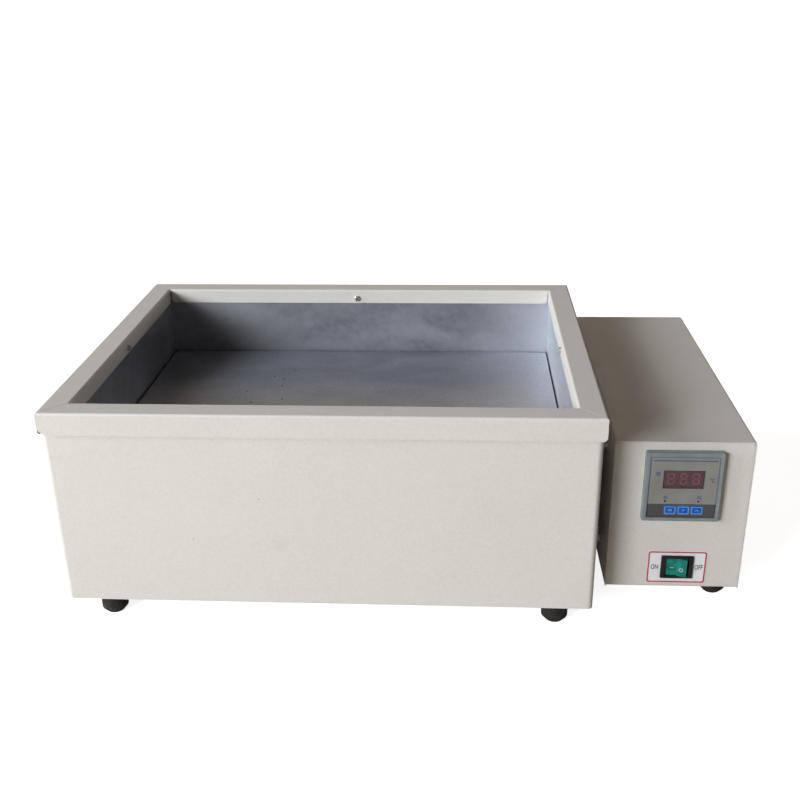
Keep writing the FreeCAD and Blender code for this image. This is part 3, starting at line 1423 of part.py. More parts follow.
def check(parts):
    """Stop if any object of the document failed, or a sub-part has no valid solid."""
    for item in DOC.Objects:
        if "Invalid" in item.State or "Error" in item.State:
            raise ValueError(f"{item.Label} failed: {item.State}")
    for part in parts:
        if part.Shape.isNull() or not part.Shape.isValid() or not part.Shape.Solids:
            raise ValueError(f"{part.Label} has no valid solid")


def export(parts):
    os.makedirs("parts", exist_ok=True)
    for part in parts:
        part.Shape.exportStep(os.path.join("parts", f"{part.Label}.step"))


fill_sheet()
PARTS = build()
DOC.recompute()
check(PARTS)
export(PARTS)
print(f"{len(PARTS)} sub-parts")
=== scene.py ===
import json
import math

import bmesh
import bpy
from mathutils import Matrix, Vector


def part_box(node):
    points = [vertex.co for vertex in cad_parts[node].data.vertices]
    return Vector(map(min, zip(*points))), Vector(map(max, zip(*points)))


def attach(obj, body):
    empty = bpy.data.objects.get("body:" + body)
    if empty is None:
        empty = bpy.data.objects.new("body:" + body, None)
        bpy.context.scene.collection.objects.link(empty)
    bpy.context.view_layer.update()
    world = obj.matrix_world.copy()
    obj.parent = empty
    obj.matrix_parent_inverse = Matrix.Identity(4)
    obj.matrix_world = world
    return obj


# Looks, prints and stage of the water bath.  Its shapes come from the frame.
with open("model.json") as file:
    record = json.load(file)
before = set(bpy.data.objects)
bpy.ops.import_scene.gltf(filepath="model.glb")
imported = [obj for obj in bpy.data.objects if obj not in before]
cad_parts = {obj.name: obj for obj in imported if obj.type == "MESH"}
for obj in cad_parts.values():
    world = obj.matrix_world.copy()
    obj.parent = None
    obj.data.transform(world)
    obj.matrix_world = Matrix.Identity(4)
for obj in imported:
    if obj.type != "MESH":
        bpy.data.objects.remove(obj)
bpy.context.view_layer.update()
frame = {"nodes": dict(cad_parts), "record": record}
NODES = frame["nodes"]
SLOTS = {entry["node"]: entry["material_slot"] for entry in frame["record"]["subparts"]}
MM = 0.001
MM_PER_METRE = 1000.0
FORWARD = Vector((0.0, -1.0, 0.0))
UP = Vector((0.0, 0.0, 1.0))


# ---- Node materials ----
#
# In the recipes below, pattern sizes and relief depths are in millimetres, places along an axis are
# in metres, and the limits in spread are values of the pattern, from 0 to 1.

def srgb(red, green, blue):
    """Screen colour, 0 to 255, as the linear colour that shaders take, by the sRGB standard's curve."""
    def linear(value):
        value /= 255
        return value / 12.92 if value <= 0.04045 else ((value + 0.055) / 1.055) ** 2.4
    return (linear(red), linear(green), linear(blue), 1.0)


# Sockets of the Mix node, which has one set for each data type.
MIX_FACTOR = "Factor"
MIX_COLOUR_A = 6
MIX_COLOUR_B = 7
MIX_COLOUR_OUT = 2


class Look:
    """A node material being put together.  Methods that add a node return its output socket."""

    def __init__(self, name, metallic=0.0):
        self.material = bpy.data.materials.new(name)
        self.material.use_nodes = True
        self.tree = self.material.node_tree
        self.shader = self.tree.nodes["Principled BSDF"]
        self.shader.inputs["Metallic"].default_value = metallic
        self.place = self.tree.nodes.new("ShaderNodeTexCoord").outputs["Object"]
        self.normal = None

    def set(self, **values):
        """Sets the shader's own sockets; an underscore in a name stands for a space."""
        for word, value in values.items():
            self.shader.inputs[word.replace("_", " ")].default_value = value

    def wire(self, value, socket):
        """Links a socket, or sets a plain value."""
        if isinstance(value, bpy.types.NodeSocket):
            self.tree.links.new(value, socket)
        else:
            socket.default_value = value

    def stretched(self, across, back, up):
        """Object coordinates multiplied along each axis; below 1 stretches a pattern that way."""
        node = self.tree.nodes.new("ShaderNodeMapping")
        node.inputs["Scale"].default_value = (across, back, up)
        self.wire(self.place, node.inputs["Vector"])
        return node.outputs["Vector"]

    def noise(self, size_mm, detail=2.0, roughness=0.5, distortion=0.0, place=None):
        """Soft random field, 0 to 1, with blotches of about size_mm."""
        node = self.tree.nodes.new("ShaderNodeTexNoise")
        node.inputs["Scale"].default_value = MM_PER_METRE / size_mm
        node.inputs["Detail"].default_value = detail
        node.inputs["Roughness"].default_value = roughness
        node.inputs["Distortion"].default_value = distortion
        self.wire(place or self.place, node.inputs["Vector"])
        return node.outputs["Fac"]

    def cells(self, size_mm, output="Distance"):
        """Cell pattern: distance to, or colour of, the nearest cell's middle."""
        node = self.tree.nodes.new("ShaderNodeTexVoronoi")
        node.inputs["Scale"].default_value = MM_PER_METRE / size_mm
        self.wire(self.place, node.inputs["Vector"])
        return node.outputs[output]

    def spread(self, value, low, high, start=0.0, end=1.0):
        """Maps value from low..high to start..end, clamped."""
        node = self.tree.nodes.new("ShaderNodeMapRange")
        node.interpolation_type = "SMOOTHSTEP"
        self.wire(value, node.inputs["Value"])
        node.inputs["From Min"].default_value = low
        node.inputs["From Max"].default_value = high
        node.inputs["To Min"].default_value = start
        node.inputs["To Max"].default_value = end
        return node.outputs["Result"]

    def product(self, first, second):
        """The two values multiplied."""
        node = self.tree.nodes.new("ShaderNodeMath")
        node.operation = "MULTIPLY"
        self.wire(first, node.inputs[0])
        self.wire(second, node.inputs[1])
        return node.outputs[0]

    def mix(self, share, first, second):
        """Colour between first and second; a share of 1 is all second."""
        node = self.tree.nodes.new("ShaderNodeMix")
        node.data_type = "RGBA"
        self.wire(share, node.inputs[MIX_FACTOR])
        self.wire(first, node.inputs[MIX_COLOUR_A])
        self.wire(second, node.inputs[MIX_COLOUR_B])
        return node.outputs[MIX_COLOUR_OUT]

    def along(self, axis):
        """Position along an axis in metres."""
        node = self.tree.nodes.new("ShaderNodeSeparateXYZ")
        self.wire(self.place, node.inputs[0])
        return node.outputs[axis]

    def first_channel(self, colour):
        """Red channel of a colour, as a value."""
        node = self.tree.nodes.new("ShaderNodeSeparateColor")
        self.wire(colour, node.inputs[0])
        return node.outputs[0]

    def bump(self, relief, depth_mm, strength):
        """Adds relief to the surface; later calls add to earlier ones."""
        node = self.tree.nodes.new("ShaderNodeBump")
        node.inputs["Strength"].default_value = strength
        node.inputs["Distance"].default_value = depth_mm * MM
        self.wire(relief, node.inputs["Height"])
        if self.normal:
            self.wire(self.normal, node.inputs["Normal"])
        self.normal = node.outputs["Normal"]

    def finish(self, colour, roughness):
        """Connects colour, roughness and relief to the shader, and returns the material."""
        self.wire(colour, self.shader.inputs["Base Color"])
        self.wire(roughness, self.shader.inputs["Roughness"])
        if self.normal:
            self.wire(self.normal, self.shader.inputs["Normal"])
        return self.material


def powder_coat():
    """Ivory powder coat with an orange-peel skin, painted shade in the peel's low spots, faint dirt and a
    few pits.
    """
    look = Look("ivory_powder_coat")
    peel = look.noise(2.3, detail=3.0, roughness=0.55)
    fine = look.noise(0.9, detail=1.0)
    cloud = look.noise(95.0, detail=3.0)
    tone_blotches = look.spread(look.noise(38.0, detail=4.0, roughness=0.65), 0.60, 0.80, 0.0, 0.35)
    pits = look.spread(look.cells(26.0), 0.018, 0.028, 0.7, 0.0)
    rare = look.spread(look.noise(60.0, detail=0.0), 0.60, 0.62)
    colour = look.mix(cloud, srgb(222, 221, 217), srgb(228, 227, 224))
    colour = look.mix(tone_blotches, colour, srgb(212, 208, 198))
    # Painted shade: the low spots of the orange peel are darkened in colour.
    colour = look.mix(look.spread(peel, 0.35, 0.62, 0.16, 0.0), colour, srgb(198, 195, 186))
    colour = look.mix(look.product(pits, rare), colour, srgb(96, 84, 70))
    look.bump(cloud, 0.6, 0.6)
    look.bump(peel, 0.11, 0.75)
    look.bump(fine, 0.03, 0.5)
    return look.finish(colour, look.spread(look.noise(14.0), 0.3, 0.7, 0.40, 0.55))


def galvanised():
    """Dull zinc-coated sheet: smudges, faint spangle, slight waviness, and painted light lightening it to
    the right.
    """
    look = Look("galvanised_sheet", metallic=0.6)
    patches = look.stretched(0.8, 0.8, 1.3)
    smudge = look.noise(80.0, detail=4.0, roughness=0.55, distortion=0.5, place=patches)
    spangle = look.first_channel(look.cells(7.0, output="Color"))
    grain = look.noise(1.1, detail=2.0)
    wave = look.noise(120.0, detail=1.0)
    colour = look.mix(look.spread(smudge, 0.38, 0.66, 0.0, 0.7), srgb(146, 151, 163), srgb(178, 183, 195))
    colour = look.mix(look.spread(grain, 0.3, 0.7, 0.0, 0.25), colour, srgb(130, 134, 144))
    colour = look.mix(look.spread(spangle, 0.0, 1.0, 0.0, 0.16), colour, srgb(198, 202, 210))
    # Painted light: the sheet is lighter towards the right, standing in for the window's light and its
    # bounce off the lit right wall.
    colour = look.mix(look.spread(look.along("X"), 0.02, 0.22, 0.0, 0.85), colour, srgb(224, 229, 238))
    look.bump(wave, 1.4, 0.6)
    look.bump(grain, 0.02, 0.5)
    return look.finish(colour, look.spread(smudge, 0.32, 0.70, 0.32, 0.44))


def plate_sheet():
    """The loose plate: the same sheet, with bright grains, fine scratches, a painted warm reflection of
    the room, strongest along the front and gone behind the middle, and a painted reflection lightening it
    to the right."""
    look = Look("galvanised_plate", metallic=0.6)
    patches = look.stretched(0.6, 1.2, 1.0)
    streaks = look.stretched(0.25, 3.0, 1.0)
    smudge = look.noise(70.0, detail=4.0, roughness=0.6, distortion=0.4, place=patches)
    tone_blotches = look.noise(45.0, detail=3.0)
    grain = look.noise(2.6, detail=3.0, roughness=0.75)
    sparkle = look.cells(5.0)
    scratch = look.noise(9.0, detail=2.0, roughness=0.6, place=streaks)
    wave = look.noise(120.0, detail=1.0)
    # Painted reflection: a warm tint of the room mirrored in the plate, its tone varied by a noise.
    painted_warm_reflection = look.mix(look.spread(tone_blotches, 0.3, 0.7), srgb(178, 166, 156), srgb(198, 188, 180))
    colour = look.mix(look.spread(smudge, 0.38, 0.66), srgb(148, 152, 163), srgb(172, 176, 187))
    # The painted reflection is strongest along the front and fades out behind the middle.
    colour = look.mix(look.spread(look.along("Y"), -0.19, 0.11, 0.85, 0.0), colour, painted_warm_reflection)
    # Painted reflection: the plate is lighter towards the right, where it mirrors the brightly lit right
    # wall.
    colour = look.mix(look.spread(look.along("X"), 0.0, 0.20, 0.0, 0.8), colour, srgb(226, 231, 240))
    colour = look.mix(look.spread(sparkle, 0.06, 0.26, 0.34, 0.0), colour, srgb(226, 230, 238))
    colour = look.mix(look.spread(grain, 0.34, 0.58, 0.26, 0.0), colour, srgb(116, 116, 124))
    look.bump(wave, 1.6, 0.6)
    look.bump(grain, 0.03, 0.5)
    look.bump(scratch, 0.02, 0.4)
    return look.finish(colour, look.spread(smudge, 0.32, 0.70, 0.30, 0.42))


def zinc_fastener():
    """Bright zinc plating, a little hazy."""
    look = Look("zinc_fastener", metallic=0.75)
    haze = look.noise(3.0, detail=3.0)
    colour = look.mix(look.spread(haze, 0.35, 0.7), srgb(196, 193, 187), srgb(220, 218, 214))
    look.bump(look.noise(0.6), 0.02, 0.5)
    return look.finish(colour, look.spread(haze, 0.3, 0.7, 0.22, 0.38))


def heater_steel():
    """Stainless tube, tinted brown and blue by heat in patches."""
    look = Look("heater_steel", metallic=1.0)
    patch = look.noise(30.0, detail=3.0)
    colour = look.mix(look.spread(patch, 0.4, 0.65), srgb(150, 146, 140), srgb(142, 116, 88))
    colour = look.mix(look.spread(look.noise(55.0), 0.55, 0.7, 0.0, 0.5), colour, srgb(92, 98, 122))
    look.bump(look.noise(0.8, place=look.stretched(0.2, 1, 1)), 0.02, 0.5)
    return look.finish(colour, look.spread(patch, 0.3, 0.7, 0.28, 0.42))


def brass_fitting():
    """Brass, tarnished in patches."""
    look = Look("brass_fitting", metallic=1.0)
    tarnish = look.noise(5.0, detail=4.0)
    colour = look.mix(look.spread(tarnish, 0.4, 0.7), srgb(206, 172, 104), srgb(150, 116, 66))
    look.bump(look.noise(0.5), 0.015, 0.5)
    return look.finish(colour, look.spread(tarnish, 0.3, 0.7, 0.22, 0.42))


def terminal_metal():
    """Plated contacts, brushed from front to back."""
    look = Look("terminal_metal", metallic=1.0)
    haze = look.noise(2.0, detail=2.0)
    colour = look.mix(haze, srgb(190, 188, 182), srgb(214, 212, 206))
    look.bump(look.noise(0.7, place=look.stretched(1, 0.2, 1)), 0.01, 0.5)
    return look.finish(colour, look.spread(haze, 0.3, 0.7, 0.25, 0.4))


# Grain of a plastic surface: the size of its bumps and their depth, in millimetres.
MOULDED_GRAIN = (0.7, 0.03)
FINE_GRAIN = (0.5, 0.01)
LENS_GRAIN = (0.4, 0.005)


def plastic(name, dark, light, smooth, rough, grain=MOULDED_GRAIN):
    """Moulded plastic: two close shades in soft clouds, moulded grain, and uneven gloss."""
    look = Look(name)
    cloud = look.noise(16.0, detail=3.0)
    grain_size, grain_depth = grain
    colour = look.mix(look.spread(cloud, 0.3, 0.7), dark, light)
    look.bump(look.noise(grain_size, detail=2.0), grain_depth, 0.6)
    return look.finish(colour, look.spread(look.noise(7.0, detail=3.0), 0.3, 0.7, smooth, rough))


def rubber():
    """Black rubber, greyer and dustier towards the bench."""
    look = Look("black_rubber")
    dust = look.noise(4.0, detail=4.0, roughness=0.65)
    low = look.spread(look.along("Z"), 0.004, 0.020, 0.75, 0.15)
    share = look.product(look.spread(dust, 0.42, 0.75), low)
    colour = look.mix(share, srgb(30, 30, 31), srgb(86, 82, 76))
    look.bump(look.noise(1.2, detail=3.0), 0.08, 0.6)
    return look.finish(colour, look.spread(dust, 0.3, 0.7, 0.55, 0.75))


def fibrous(name, dark, light, fibre_mm):
    """Dull surface of short fibres that lie along X, with a faint sheen."""
    look = Look(name)
    fibres = look.noise(fibre_mm, detail=4.0, roughness=0.7, place=look.stretched(0.4, 1.0, 1.0))
    colour = look.mix(look.spread(fibres, 0.35, 0.65), dark, light)
    look.bump(fibres, fibre_mm / 4, 0.8)
    look.set(Sheen_Weight=0.2)
    return look.finish(colour, look.spread(fibres, 0.3, 0.7, 0.8, 0.95))


def filter_plastic():
    """Tinted display filter: mostly see-through, with a glossy front."""
    look = Look("display_filter")
    haze = look.noise(9.0, detail=2.0)
    colour = look.mix(haze, srgb(112, 84, 92), srgb(122, 92, 99))
    look.set(Alpha=0.32)
    return look.finish(colour, look.spread(haze, 0.3, 0.7, 0.10, 0.18))


def segment_plastic():
    """Unlit segments: milky pink diffusers."""
    look = Look("segment_red")
    cloud = look.noise(2.5, detail=2.0)
    colour = look.mix(cloud, srgb(196, 128, 146), srgb(210, 146, 162))
    look.bump(look.noise(0.4), 0.01, 0.4)
    return look.finish(colour, look.spread(cloud, 0.3, 0.7, 0.35, 0.5))


def rocker_plastic():
    """Glossy green rocker in soft clouds of two shades, like a translucent moulding."""
    look = Look("rocker_green")
    cloud = look.noise(6.0, detail=2.0)
    colour = look.mix(look.spread(cloud, 0.35, 0.65), srgb(0, 114, 102), srgb(3, 142, 130))
    look.set(Coat_Weight=0.15, Coat_Roughness=0.15)
    look.bump(look.noise(1.6), 0.02, 0.4)
    return look.finish(colour, look.spread(cloud, 0.3, 0.7, 0.18, 0.3))


def neon_glass():
    """Slightly hazy glass bulb of the switch's lamp."""
    look = Look("neon_glass")
    haze = look.noise(3.0)
    colour = look.mix(haze, srgb(226, 210, 196), srgb(238, 226, 214))
    look.set(Transmission_Weight=0.7)
    return look.finish(colour, look.spread(haze, 0.3, 0.7, 0.05, 0.12))


def printed(name, ink, worn, roughness=0.55):
    """Ink or film, slightly uneven in colour and gloss, with a faint grain."""
    look = Look(name)
    uneven = 0.08
    cloud = look.noise(3.5, detail=4.0, roughness=0.6)
    colour = look.mix(look.spread(cloud, 0.45, 0.75, 0.0, 0.6), ink, worn)
    look.bump(look.noise(0.6), 0.008, 0.5)
    return look.finish(colour, look.spread(cloud, 0.3, 0.7, roughness - uneven, roughness + uneven))


MATERIALS = {
    "cream_paint": powder_coat(),
    "galvanised_sheet": galvanised(),
    "zinc_fastener": zinc_fastener(),
    "heater_steel": heater_steel(),
    "brass_fitting": brass_fitting(),
    "red_gasket": plastic("red_gasket", srgb(150, 50, 40), srgb(166, 62, 50), 0.5, 0.65),
    "mineral_wool": fibrous("mineral_wool", srgb(176, 160, 112), srgb(214, 202, 160), 2.2),
    "black_rubber": rubber(),
    "black_plastic": plastic("black_plastic", srgb(34, 34, 36), srgb(46, 46, 48), 0.38, 0.52),
    "lead_sleeve": fibrous("lead_sleeve", srgb(168, 160, 142), srgb(208, 200, 184), 0.9),
    "bezel_plastic": plastic("bezel_plastic", srgb(130, 142, 146), srgb(142, 153, 156), 0.32, 0.46),
    "face_film": plastic("face_film", srgb(136, 138, 135), srgb(146, 148, 144), 0.34, 0.46, FINE_GRAIN),
    "display_filter": filter_plastic(),
    "display_body": plastic("display_body", srgb(98, 82, 92), srgb(110, 92, 102), 0.4, 0.55),
    "segment_red": segment_plastic(),
    "lamp_lens": plastic("lamp_lens", srgb(52, 24, 26), srgb(70, 30, 32), 0.12, 0.22, LENS_GRAIN),
    "button_blue": plastic("button_blue", srgb(10, 78, 176), srgb(16, 92, 196), 0.24, 0.36, FINE_GRAIN),
    "circuit_board": plastic("circuit_board", srgb(28, 92, 52), srgb(44, 116, 66), 0.3, 0.45),
    "label_white": printed("label_white", srgb(244, 246, 252), srgb(232, 234, 242), 0.4),
    "switch_black": plastic("switch_black", srgb(20, 20, 23), srgb(32, 32, 35), 0.25, 0.40),
    "rocker_green": rocker_plastic(),
    "neon_glass": neon_glass(),
    "terminal_metal": terminal_metal(),
    "relay_body": plastic("relay_body", srgb(198, 194, 180), srgb(212, 208, 196), 0.42, 0.58),
}


def dress_nodes():
    """Every CAD node takes the look of its material slot; the loose plate has a look of its own."""
    for node, thing in NODES.items():
        thing.data.materials.clear()
        thing.data.materials.append(MATERIALS[SLOTS[node]])
    NODES["false_bottom_plate"].data.materials[0] = plate_sheet()


# ---- Small pieces: prints and marks ----

INK_DARK = printed("ink_dark", srgb(44, 44, 48), srgb(70, 70, 72))
INK_BAND = printed("ink_band", srgb(80, 79, 86), srgb(92, 90, 97), 0.35)
INK_BLUE = printed("ink_blue", srgb(62, 78, 140), srgb(84, 98, 148))
INK_RED = printed("ink_red", srgb(196, 62, 84), srgb(206, 92, 108), 0.45)
INK_WHITE = printed("ink_white", srgb(226, 232, 236), srgb(196, 206, 210), 0.4)
INK_PALE = printed("ink_pale", srgb(140, 200, 240), srgb(120, 180, 226), 0.4)
KEY_EDGE = printed("key_edge", srgb(84, 168, 232), srgb(104, 180, 236), 0.4)

# Thickness of every print, and how finely its round stretches are divided.
PRINT = 0.05 * MM
CORNER_STEPS = 6
CIRCLE_STEPS = 24


def spline_ring(curve, points):
    """Closed straight-sided outline through points in the curve's plane."""
    spline = curve.splines.new("POLY")
    spline.points.add(len(points) - 1)
    for point, (across, up) in zip(spline.points, points):
        point.co = (across, up, 0.0, 1.0)
    spline.use_cyclic_u = True


def rounded_box(width, height, radius, centre=(0.0, 0.0)):
    """Outline points of a rounded rectangle, anticlockwise."""
    points = []
    for quarter, (side, rise) in enumerate(((1, 1), (-1, 1), (-1, -1), (1, -1))):
        across = centre[0] + side * (width / 2 - radius)
        up = centre[1] + rise * (height / 2 - radius)
        for step in range(CORNER_STEPS + 1):
            angle = math.pi / 2 * (quarter + step / CORNER_STEPS)
            points.append((across + radius * math.cos(angle), up + radius * math.sin(angle)))
    return points


def outline_pair(width, height, stroke, outer_radius, inner_radius):
    """Outer and inner outline of a rounded frame."""
    return [rounded_box(width, height, outer_radius),
            rounded_box(width - 2 * stroke, height - 2 * stroke, inner_radius)]


def circle(radius, centre):
    """Points of a round outline."""
    angles = [2 * math.pi * step / CIRCLE_STEPS for step in range(CIRCLE_STEPS)]
    return [(centre[0] + radius * math.cos(angle), centre[1] + radius * math.sin(angle))
            for angle in angles]


def facing(point, outward=FORWARD):
    """Placement at a point whose local Z points outward and local Y upward."""
    ahead = Vector(outward).normalized()
    side = UP.cross(ahead).normalized()
    up = ahead.cross(side)
    turn = Matrix((side, up, ahead)).transposed().to_4x4()
    return Matrix.Translation(point) @ turn


def settle(name, curve, placement, material, body):
    """Turns a curve or text into a mesh in the shared frame, riding on a body."""
    source = bpy.data.objects.new(name + "_source", curve)
    bpy.context.scene.collection.objects.link(source)
    bpy.context.view_layer.update()
    graph = bpy.context.evaluated_depsgraph_get()
    mesh = bpy.data.meshes.new_from_object(source.evaluated_get(graph))
    bpy.data.objects.remove(source)
    mesh.transform(placement)
    mesh.name = name
    mesh.materials.clear()
    mesh.materials.append(material)
    piece = bpy.data.objects.new(name, mesh)
    bpy.context.scene.collection.objects.link(piece)
    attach(piece, body)


def flat_mark(name, outlines, placement, material, body):
    """Thin printed shape; outlines inside others are holes."""
    curve = bpy.data.curves.new(name, "CURVE")
    curve.dimensions = "2D"
    curve.fill_mode = "BOTH"
    curve.extrude = PRINT / 2
    for points in outlines:
        spline_ring(curve, points)
    settle(name, curve, placement, material, body)


def lettering(name, words, height, placement, material, body, weight, narrow=1.0):
    """Flat text; weight thickens its strokes and narrow squeezes its width."""
    curve = bpy.data.curves.new(name, "FONT")
    curve.offset = weight
    curve.body = words
    curve.align_x = "CENTER"
    curve.align_y = "CENTER"
    curve.size = height
    curve.extrude = PRINT / 2
    settle(name, curve, placement @ Matrix.Diagonal((narrow, 1, 1, 1)), material, body)


def middle(node):
    """Middle of a node's box."""
    low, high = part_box(node)
    return (low + high) / 2


def print_point(node):
    """Middle of a print that lies on the middle of a node's foremost face."""
    centre = middle(node)
    return Vector((centre.x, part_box(node)[0].y - PRINT / 2, centre.z))


# ---- Controller front ----

KEY_WORDS = ("set", "down", "up")
# How far the film's letters are thickened all round.
BOLD = 0.12 * MM


def on_film(across, up):
    """Placement of a print on the controller's front film."""
    return facing(Vector((across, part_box("controller_face")[0].y - PRINT / 2, up)))


def key_band():
    """Dark band across the foot of the film, with a hole round each key."""
    low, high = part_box("controller_face")
    centre_x = middle("controller_face").x
    key_z = middle("button_set").z
    side_margin = 0.3 * MM
    foot_margin = 0.4 * MM
    above_keys = 6.4 * MM
    round_keys = 0.45 * MM
    band_low = low.z + foot_margin
    band_high = key_z + above_keys
    band_z = (band_low + band_high) / 2
    outlines = [rounded_box(high.x - low.x - 2 * side_margin, band_high - band_low, 0.6 * MM)]
    for word in KEY_WORDS:
        key_low, key_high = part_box(f"button_{word}")
        width = key_high.x - key_low.x + 2 * round_keys
        height = key_high.z - key_low.z + 2 * round_keys
        key_x = (key_low.x + key_high.x) / 2
        outlines.append(rounded_box(width, height, 1.8 * MM, (key_x - centre_x, key_z - band_z)))
    flat_mark("face_band", outlines, on_film(centre_x, band_z), INK_BAND, "bath")


def film_lines():
    """A line along the top of the film, and a thin border round it."""
    low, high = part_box("controller_face")
    centre = middle("controller_face")
    width = high.x - low.x
    height = high.z - low.z
    margin = 0.5 * MM
    stroke = 0.5 * MM
    line_margin = 2.5 * MM
    line_stroke = 0.9 * MM
    line_z = high.z - 4.3 * MM
    top_line = rounded_box(width - 2 * line_margin, line_stroke, 0.4 * MM)
    border = outline_pair(width - 2 * margin, height - 2 * margin, stroke, 1.6 * MM, 1.2 * MM)
    flat_mark("face_top_line", [top_line], on_film(centre.x, line_z), INK_BLUE, "bath")
    flat_mark("face_border", border, on_film(centre.x, centre.z), INK_BLUE, "bath")


def window_marks():
    """The degree sign right of the display window, and three short bars left of it."""
    window = middle("display_window")
    place = on_film(window.x + 26.0 * MM, window.z - 0.6 * MM)
    lettering("unit_mark", "°C", 5.4 * MM, place, INK_BLUE, "bath", BOLD, narrow=0.85)
    bar = rounded_box(4.2 * MM, 0.8 * MM, 0.3 * MM)
    bar_x = window.x - 24.0 * MM
    top_bar_z = window.z + 7.2 * MM
    pitch = 1.3 * MM
    for number in range(3):
        place = on_film(bar_x, top_bar_z - pitch * number)
        flat_mark(f"reading_mark_{number + 1}", [bar], place, INK_BLUE, "bath")


def lamp_numbers():
    """A number over each indicator lamp."""
    low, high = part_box("indicator_lamps")
    radius = (high.z - low.z) / 2
    for number, across in enumerate((low.x + radius, high.x - radius), 1):
        place = on_film(across + 0.6 * MM, high.z + 3.0 * MM)
        lettering(f"lamp_number_{number}", f"0{number}", 4.4 * MM, place,
                  INK_BLUE, "bath", BOLD)


def chevron(width, height, stroke, rise):
    """Open arrow head as one outline; rise is 1 for up and -1 for down."""
    half = width / 2
    foot = -rise * height / 2
    tip = rise * height / 2
    inner_tip = rise * (height / 2 - 1.3 * stroke)
    outside = [(-half, foot), (0, tip), (half, foot)]
    inside = [(half - stroke, foot), (0, inner_tip), (-half + stroke, foot)]
    return outside + inside


def key_prints():
    """A paler border and a small mark on each key; both move with it."""
    mark_width = 3.6 * MM
    mark_height = 2.2 * MM
    arrow_stroke = 0.65 * MM
    marks = {
        "set": outline_pair(mark_width, mark_height, 0.55 * MM, 0.5 * MM, 0.3 * MM),
        "down": [chevron(mark_width, mark_height, arrow_stroke, -1)],
        "up": [chevron(mark_width, mark_height, arrow_stroke, 1)],
    }
    margin = 0.45 * MM
    for word in KEY_WORDS:
        low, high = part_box(f"button_{word}")
        width = high.x - low.x - 2 * margin
        height = high.z - low.z - 2 * margin
        border = outline_pair(width, height, 1.0 * MM, 1.3 * MM, 0.8 * MM)
        place = facing(print_point(f"button_{word}"))
        flat_mark(f"{word}_key_border", border, place, KEY_EDGE, f"{word}_key")
        flat_mark(f"{word}_key_mark", marks[word], place, INK_PALE, f"{word}_key")


# ---- Switch ----

def label_prints():
    """Red border and the two words on the label plate, one each side of the switch."""
    low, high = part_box("switch_label")
    housing_low, housing_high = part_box("switch_housing")
    centre = print_point("switch_label")
    margin = 0.3 * MM
    line = 1.5 * MM
    width = high.x - low.x - 2 * margin
    height = high.z - low.z - 2 * margin
    border = outline_pair(width, height, line, 2.4 * MM, 1.5 * MM)
    flat_mark("label_border", border, facing(centre), INK_RED, "bath")
    left = (low.x + line + housing_low.x) / 2
    right = (high.x - line + housing_high.x) / 2
    word_z = middle("switch_housing").z - 0.8 * MM
    for name, words, across in (("label_on", "ON", left), ("label_off", "OFF", right)):
        place = facing(Vector((across, centre.y, word_z)))
        lettering(name, words, 7.4 * MM, place, INK_DARK, "bath", 0.11 * MM, narrow=0.62)


# At rest the rocker is turned by this angle, so the direction midway between its two front faces
# has the sideways part ROCKER_MIDDLE_LEAN.
ROCKER_TILT = math.radians(12.0)
ROCKER_MIDDLE_LEAN = -math.sin(ROCKER_TILT)
# Limits on a polygon's direction, along Y and Z, for it to be part of a front face.
FRONT_LIMIT = -0.85
RISE_LIMIT = 0.1


def rocker_face(lean_side):
    """Middle and outward direction of the front face that leans to one side, -1 or 1."""
    area = 0.0
    centre_sum = Vector()
    normal_sum = Vector()
    for face in NODES["switch_rocker"].data.polygons:
        to_front = face.normal.y <= FRONT_LIMIT and abs(face.normal.z) <= RISE_LIMIT
        lean = face.normal.x - ROCKER_MIDDLE_LEAN
        if to_front and lean * lean_side > 0:
            area += face.area
            centre_sum += face.center * face.area
            normal_sum += face.normal * face.area
    return centre_sum / area, normal_sum.normalized()


def rocker_marks():
    """A bar on the left, pressed side and a ring on the right, raised side."""
    ring_centre = (0.4 * MM, -2.4 * MM)
    shapes = (
        ("rocker_bar", [rounded_box(3.8 * MM, 0.65 * MM, 0.3 * MM, (0.0, -0.8 * MM))]),
        ("rocker_ring", [circle(2.0 * MM, ring_centre), circle(1.45 * MM, ring_centre)]),
    )
    faces = sorted((rocker_face(-1), rocker_face(1)), key=lambda face: face[0].x)
    for (centre, outward), (name, outlines) in zip(faces, shapes):
        place = facing(centre + outward * (PRINT / 2), outward)
        flat_mark(name, outlines, place, INK_WHITE, "rocker")


# ---- Stage ----

# Place in metres, angles in degrees, focal length and sensor in millimetres.
CAMERA_PLACE = Vector((0.0536, -1.0191, 0.6028))
CAMERA_HEADING = 3.67
CAMERA_PITCH = 23.5
CAMERA_ROLL = -0.94
CAMERA_LENS = 45.59
SENSOR_WIDTH = 36.0


def camera():
    """Camera at the photograph's viewing angle."""
    lens = bpy.data.cameras.new("camera")
    lens.lens = CAMERA_LENS
    lens.sensor_width = SENSOR_WIDTH
    lens.clip_start = 0.01
    holder = bpy.data.objects.new("camera", lens)
    holder.matrix_world = (Matrix.Translation(CAMERA_PLACE)
                           @ Matrix.Rotation(math.radians(CAMERA_HEADING), 4, "Z")
                           @ Matrix.Rotation(math.radians(90 - CAMERA_PITCH), 4, "X")
                           @ Matrix.Rotation(math.radians(CAMERA_ROLL), 4, "Z"))
    bpy.context.scene.collection.objects.link(holder)
    bpy.context.scene.camera = holder


def area_light(name, place, aim, size, power, colour):
    """Rectangular light at a place, turned towards aim; size is its width and height."""
    lamp = bpy.data.lights.new(name, "AREA")
    lamp.shape = "RECTANGLE"
    lamp.size, lamp.size_y = size
    lamp.energy = power
    lamp.color = colour
    holder = bpy.data.objects.new(name, lamp)
    holder.location = place
    holder.rotation_euler = (Vector(aim) - Vector(place)).to_track_quat("-Z", "Y").to_euler()
    bpy.context.scene.collection.objects.link(holder)
    return holder


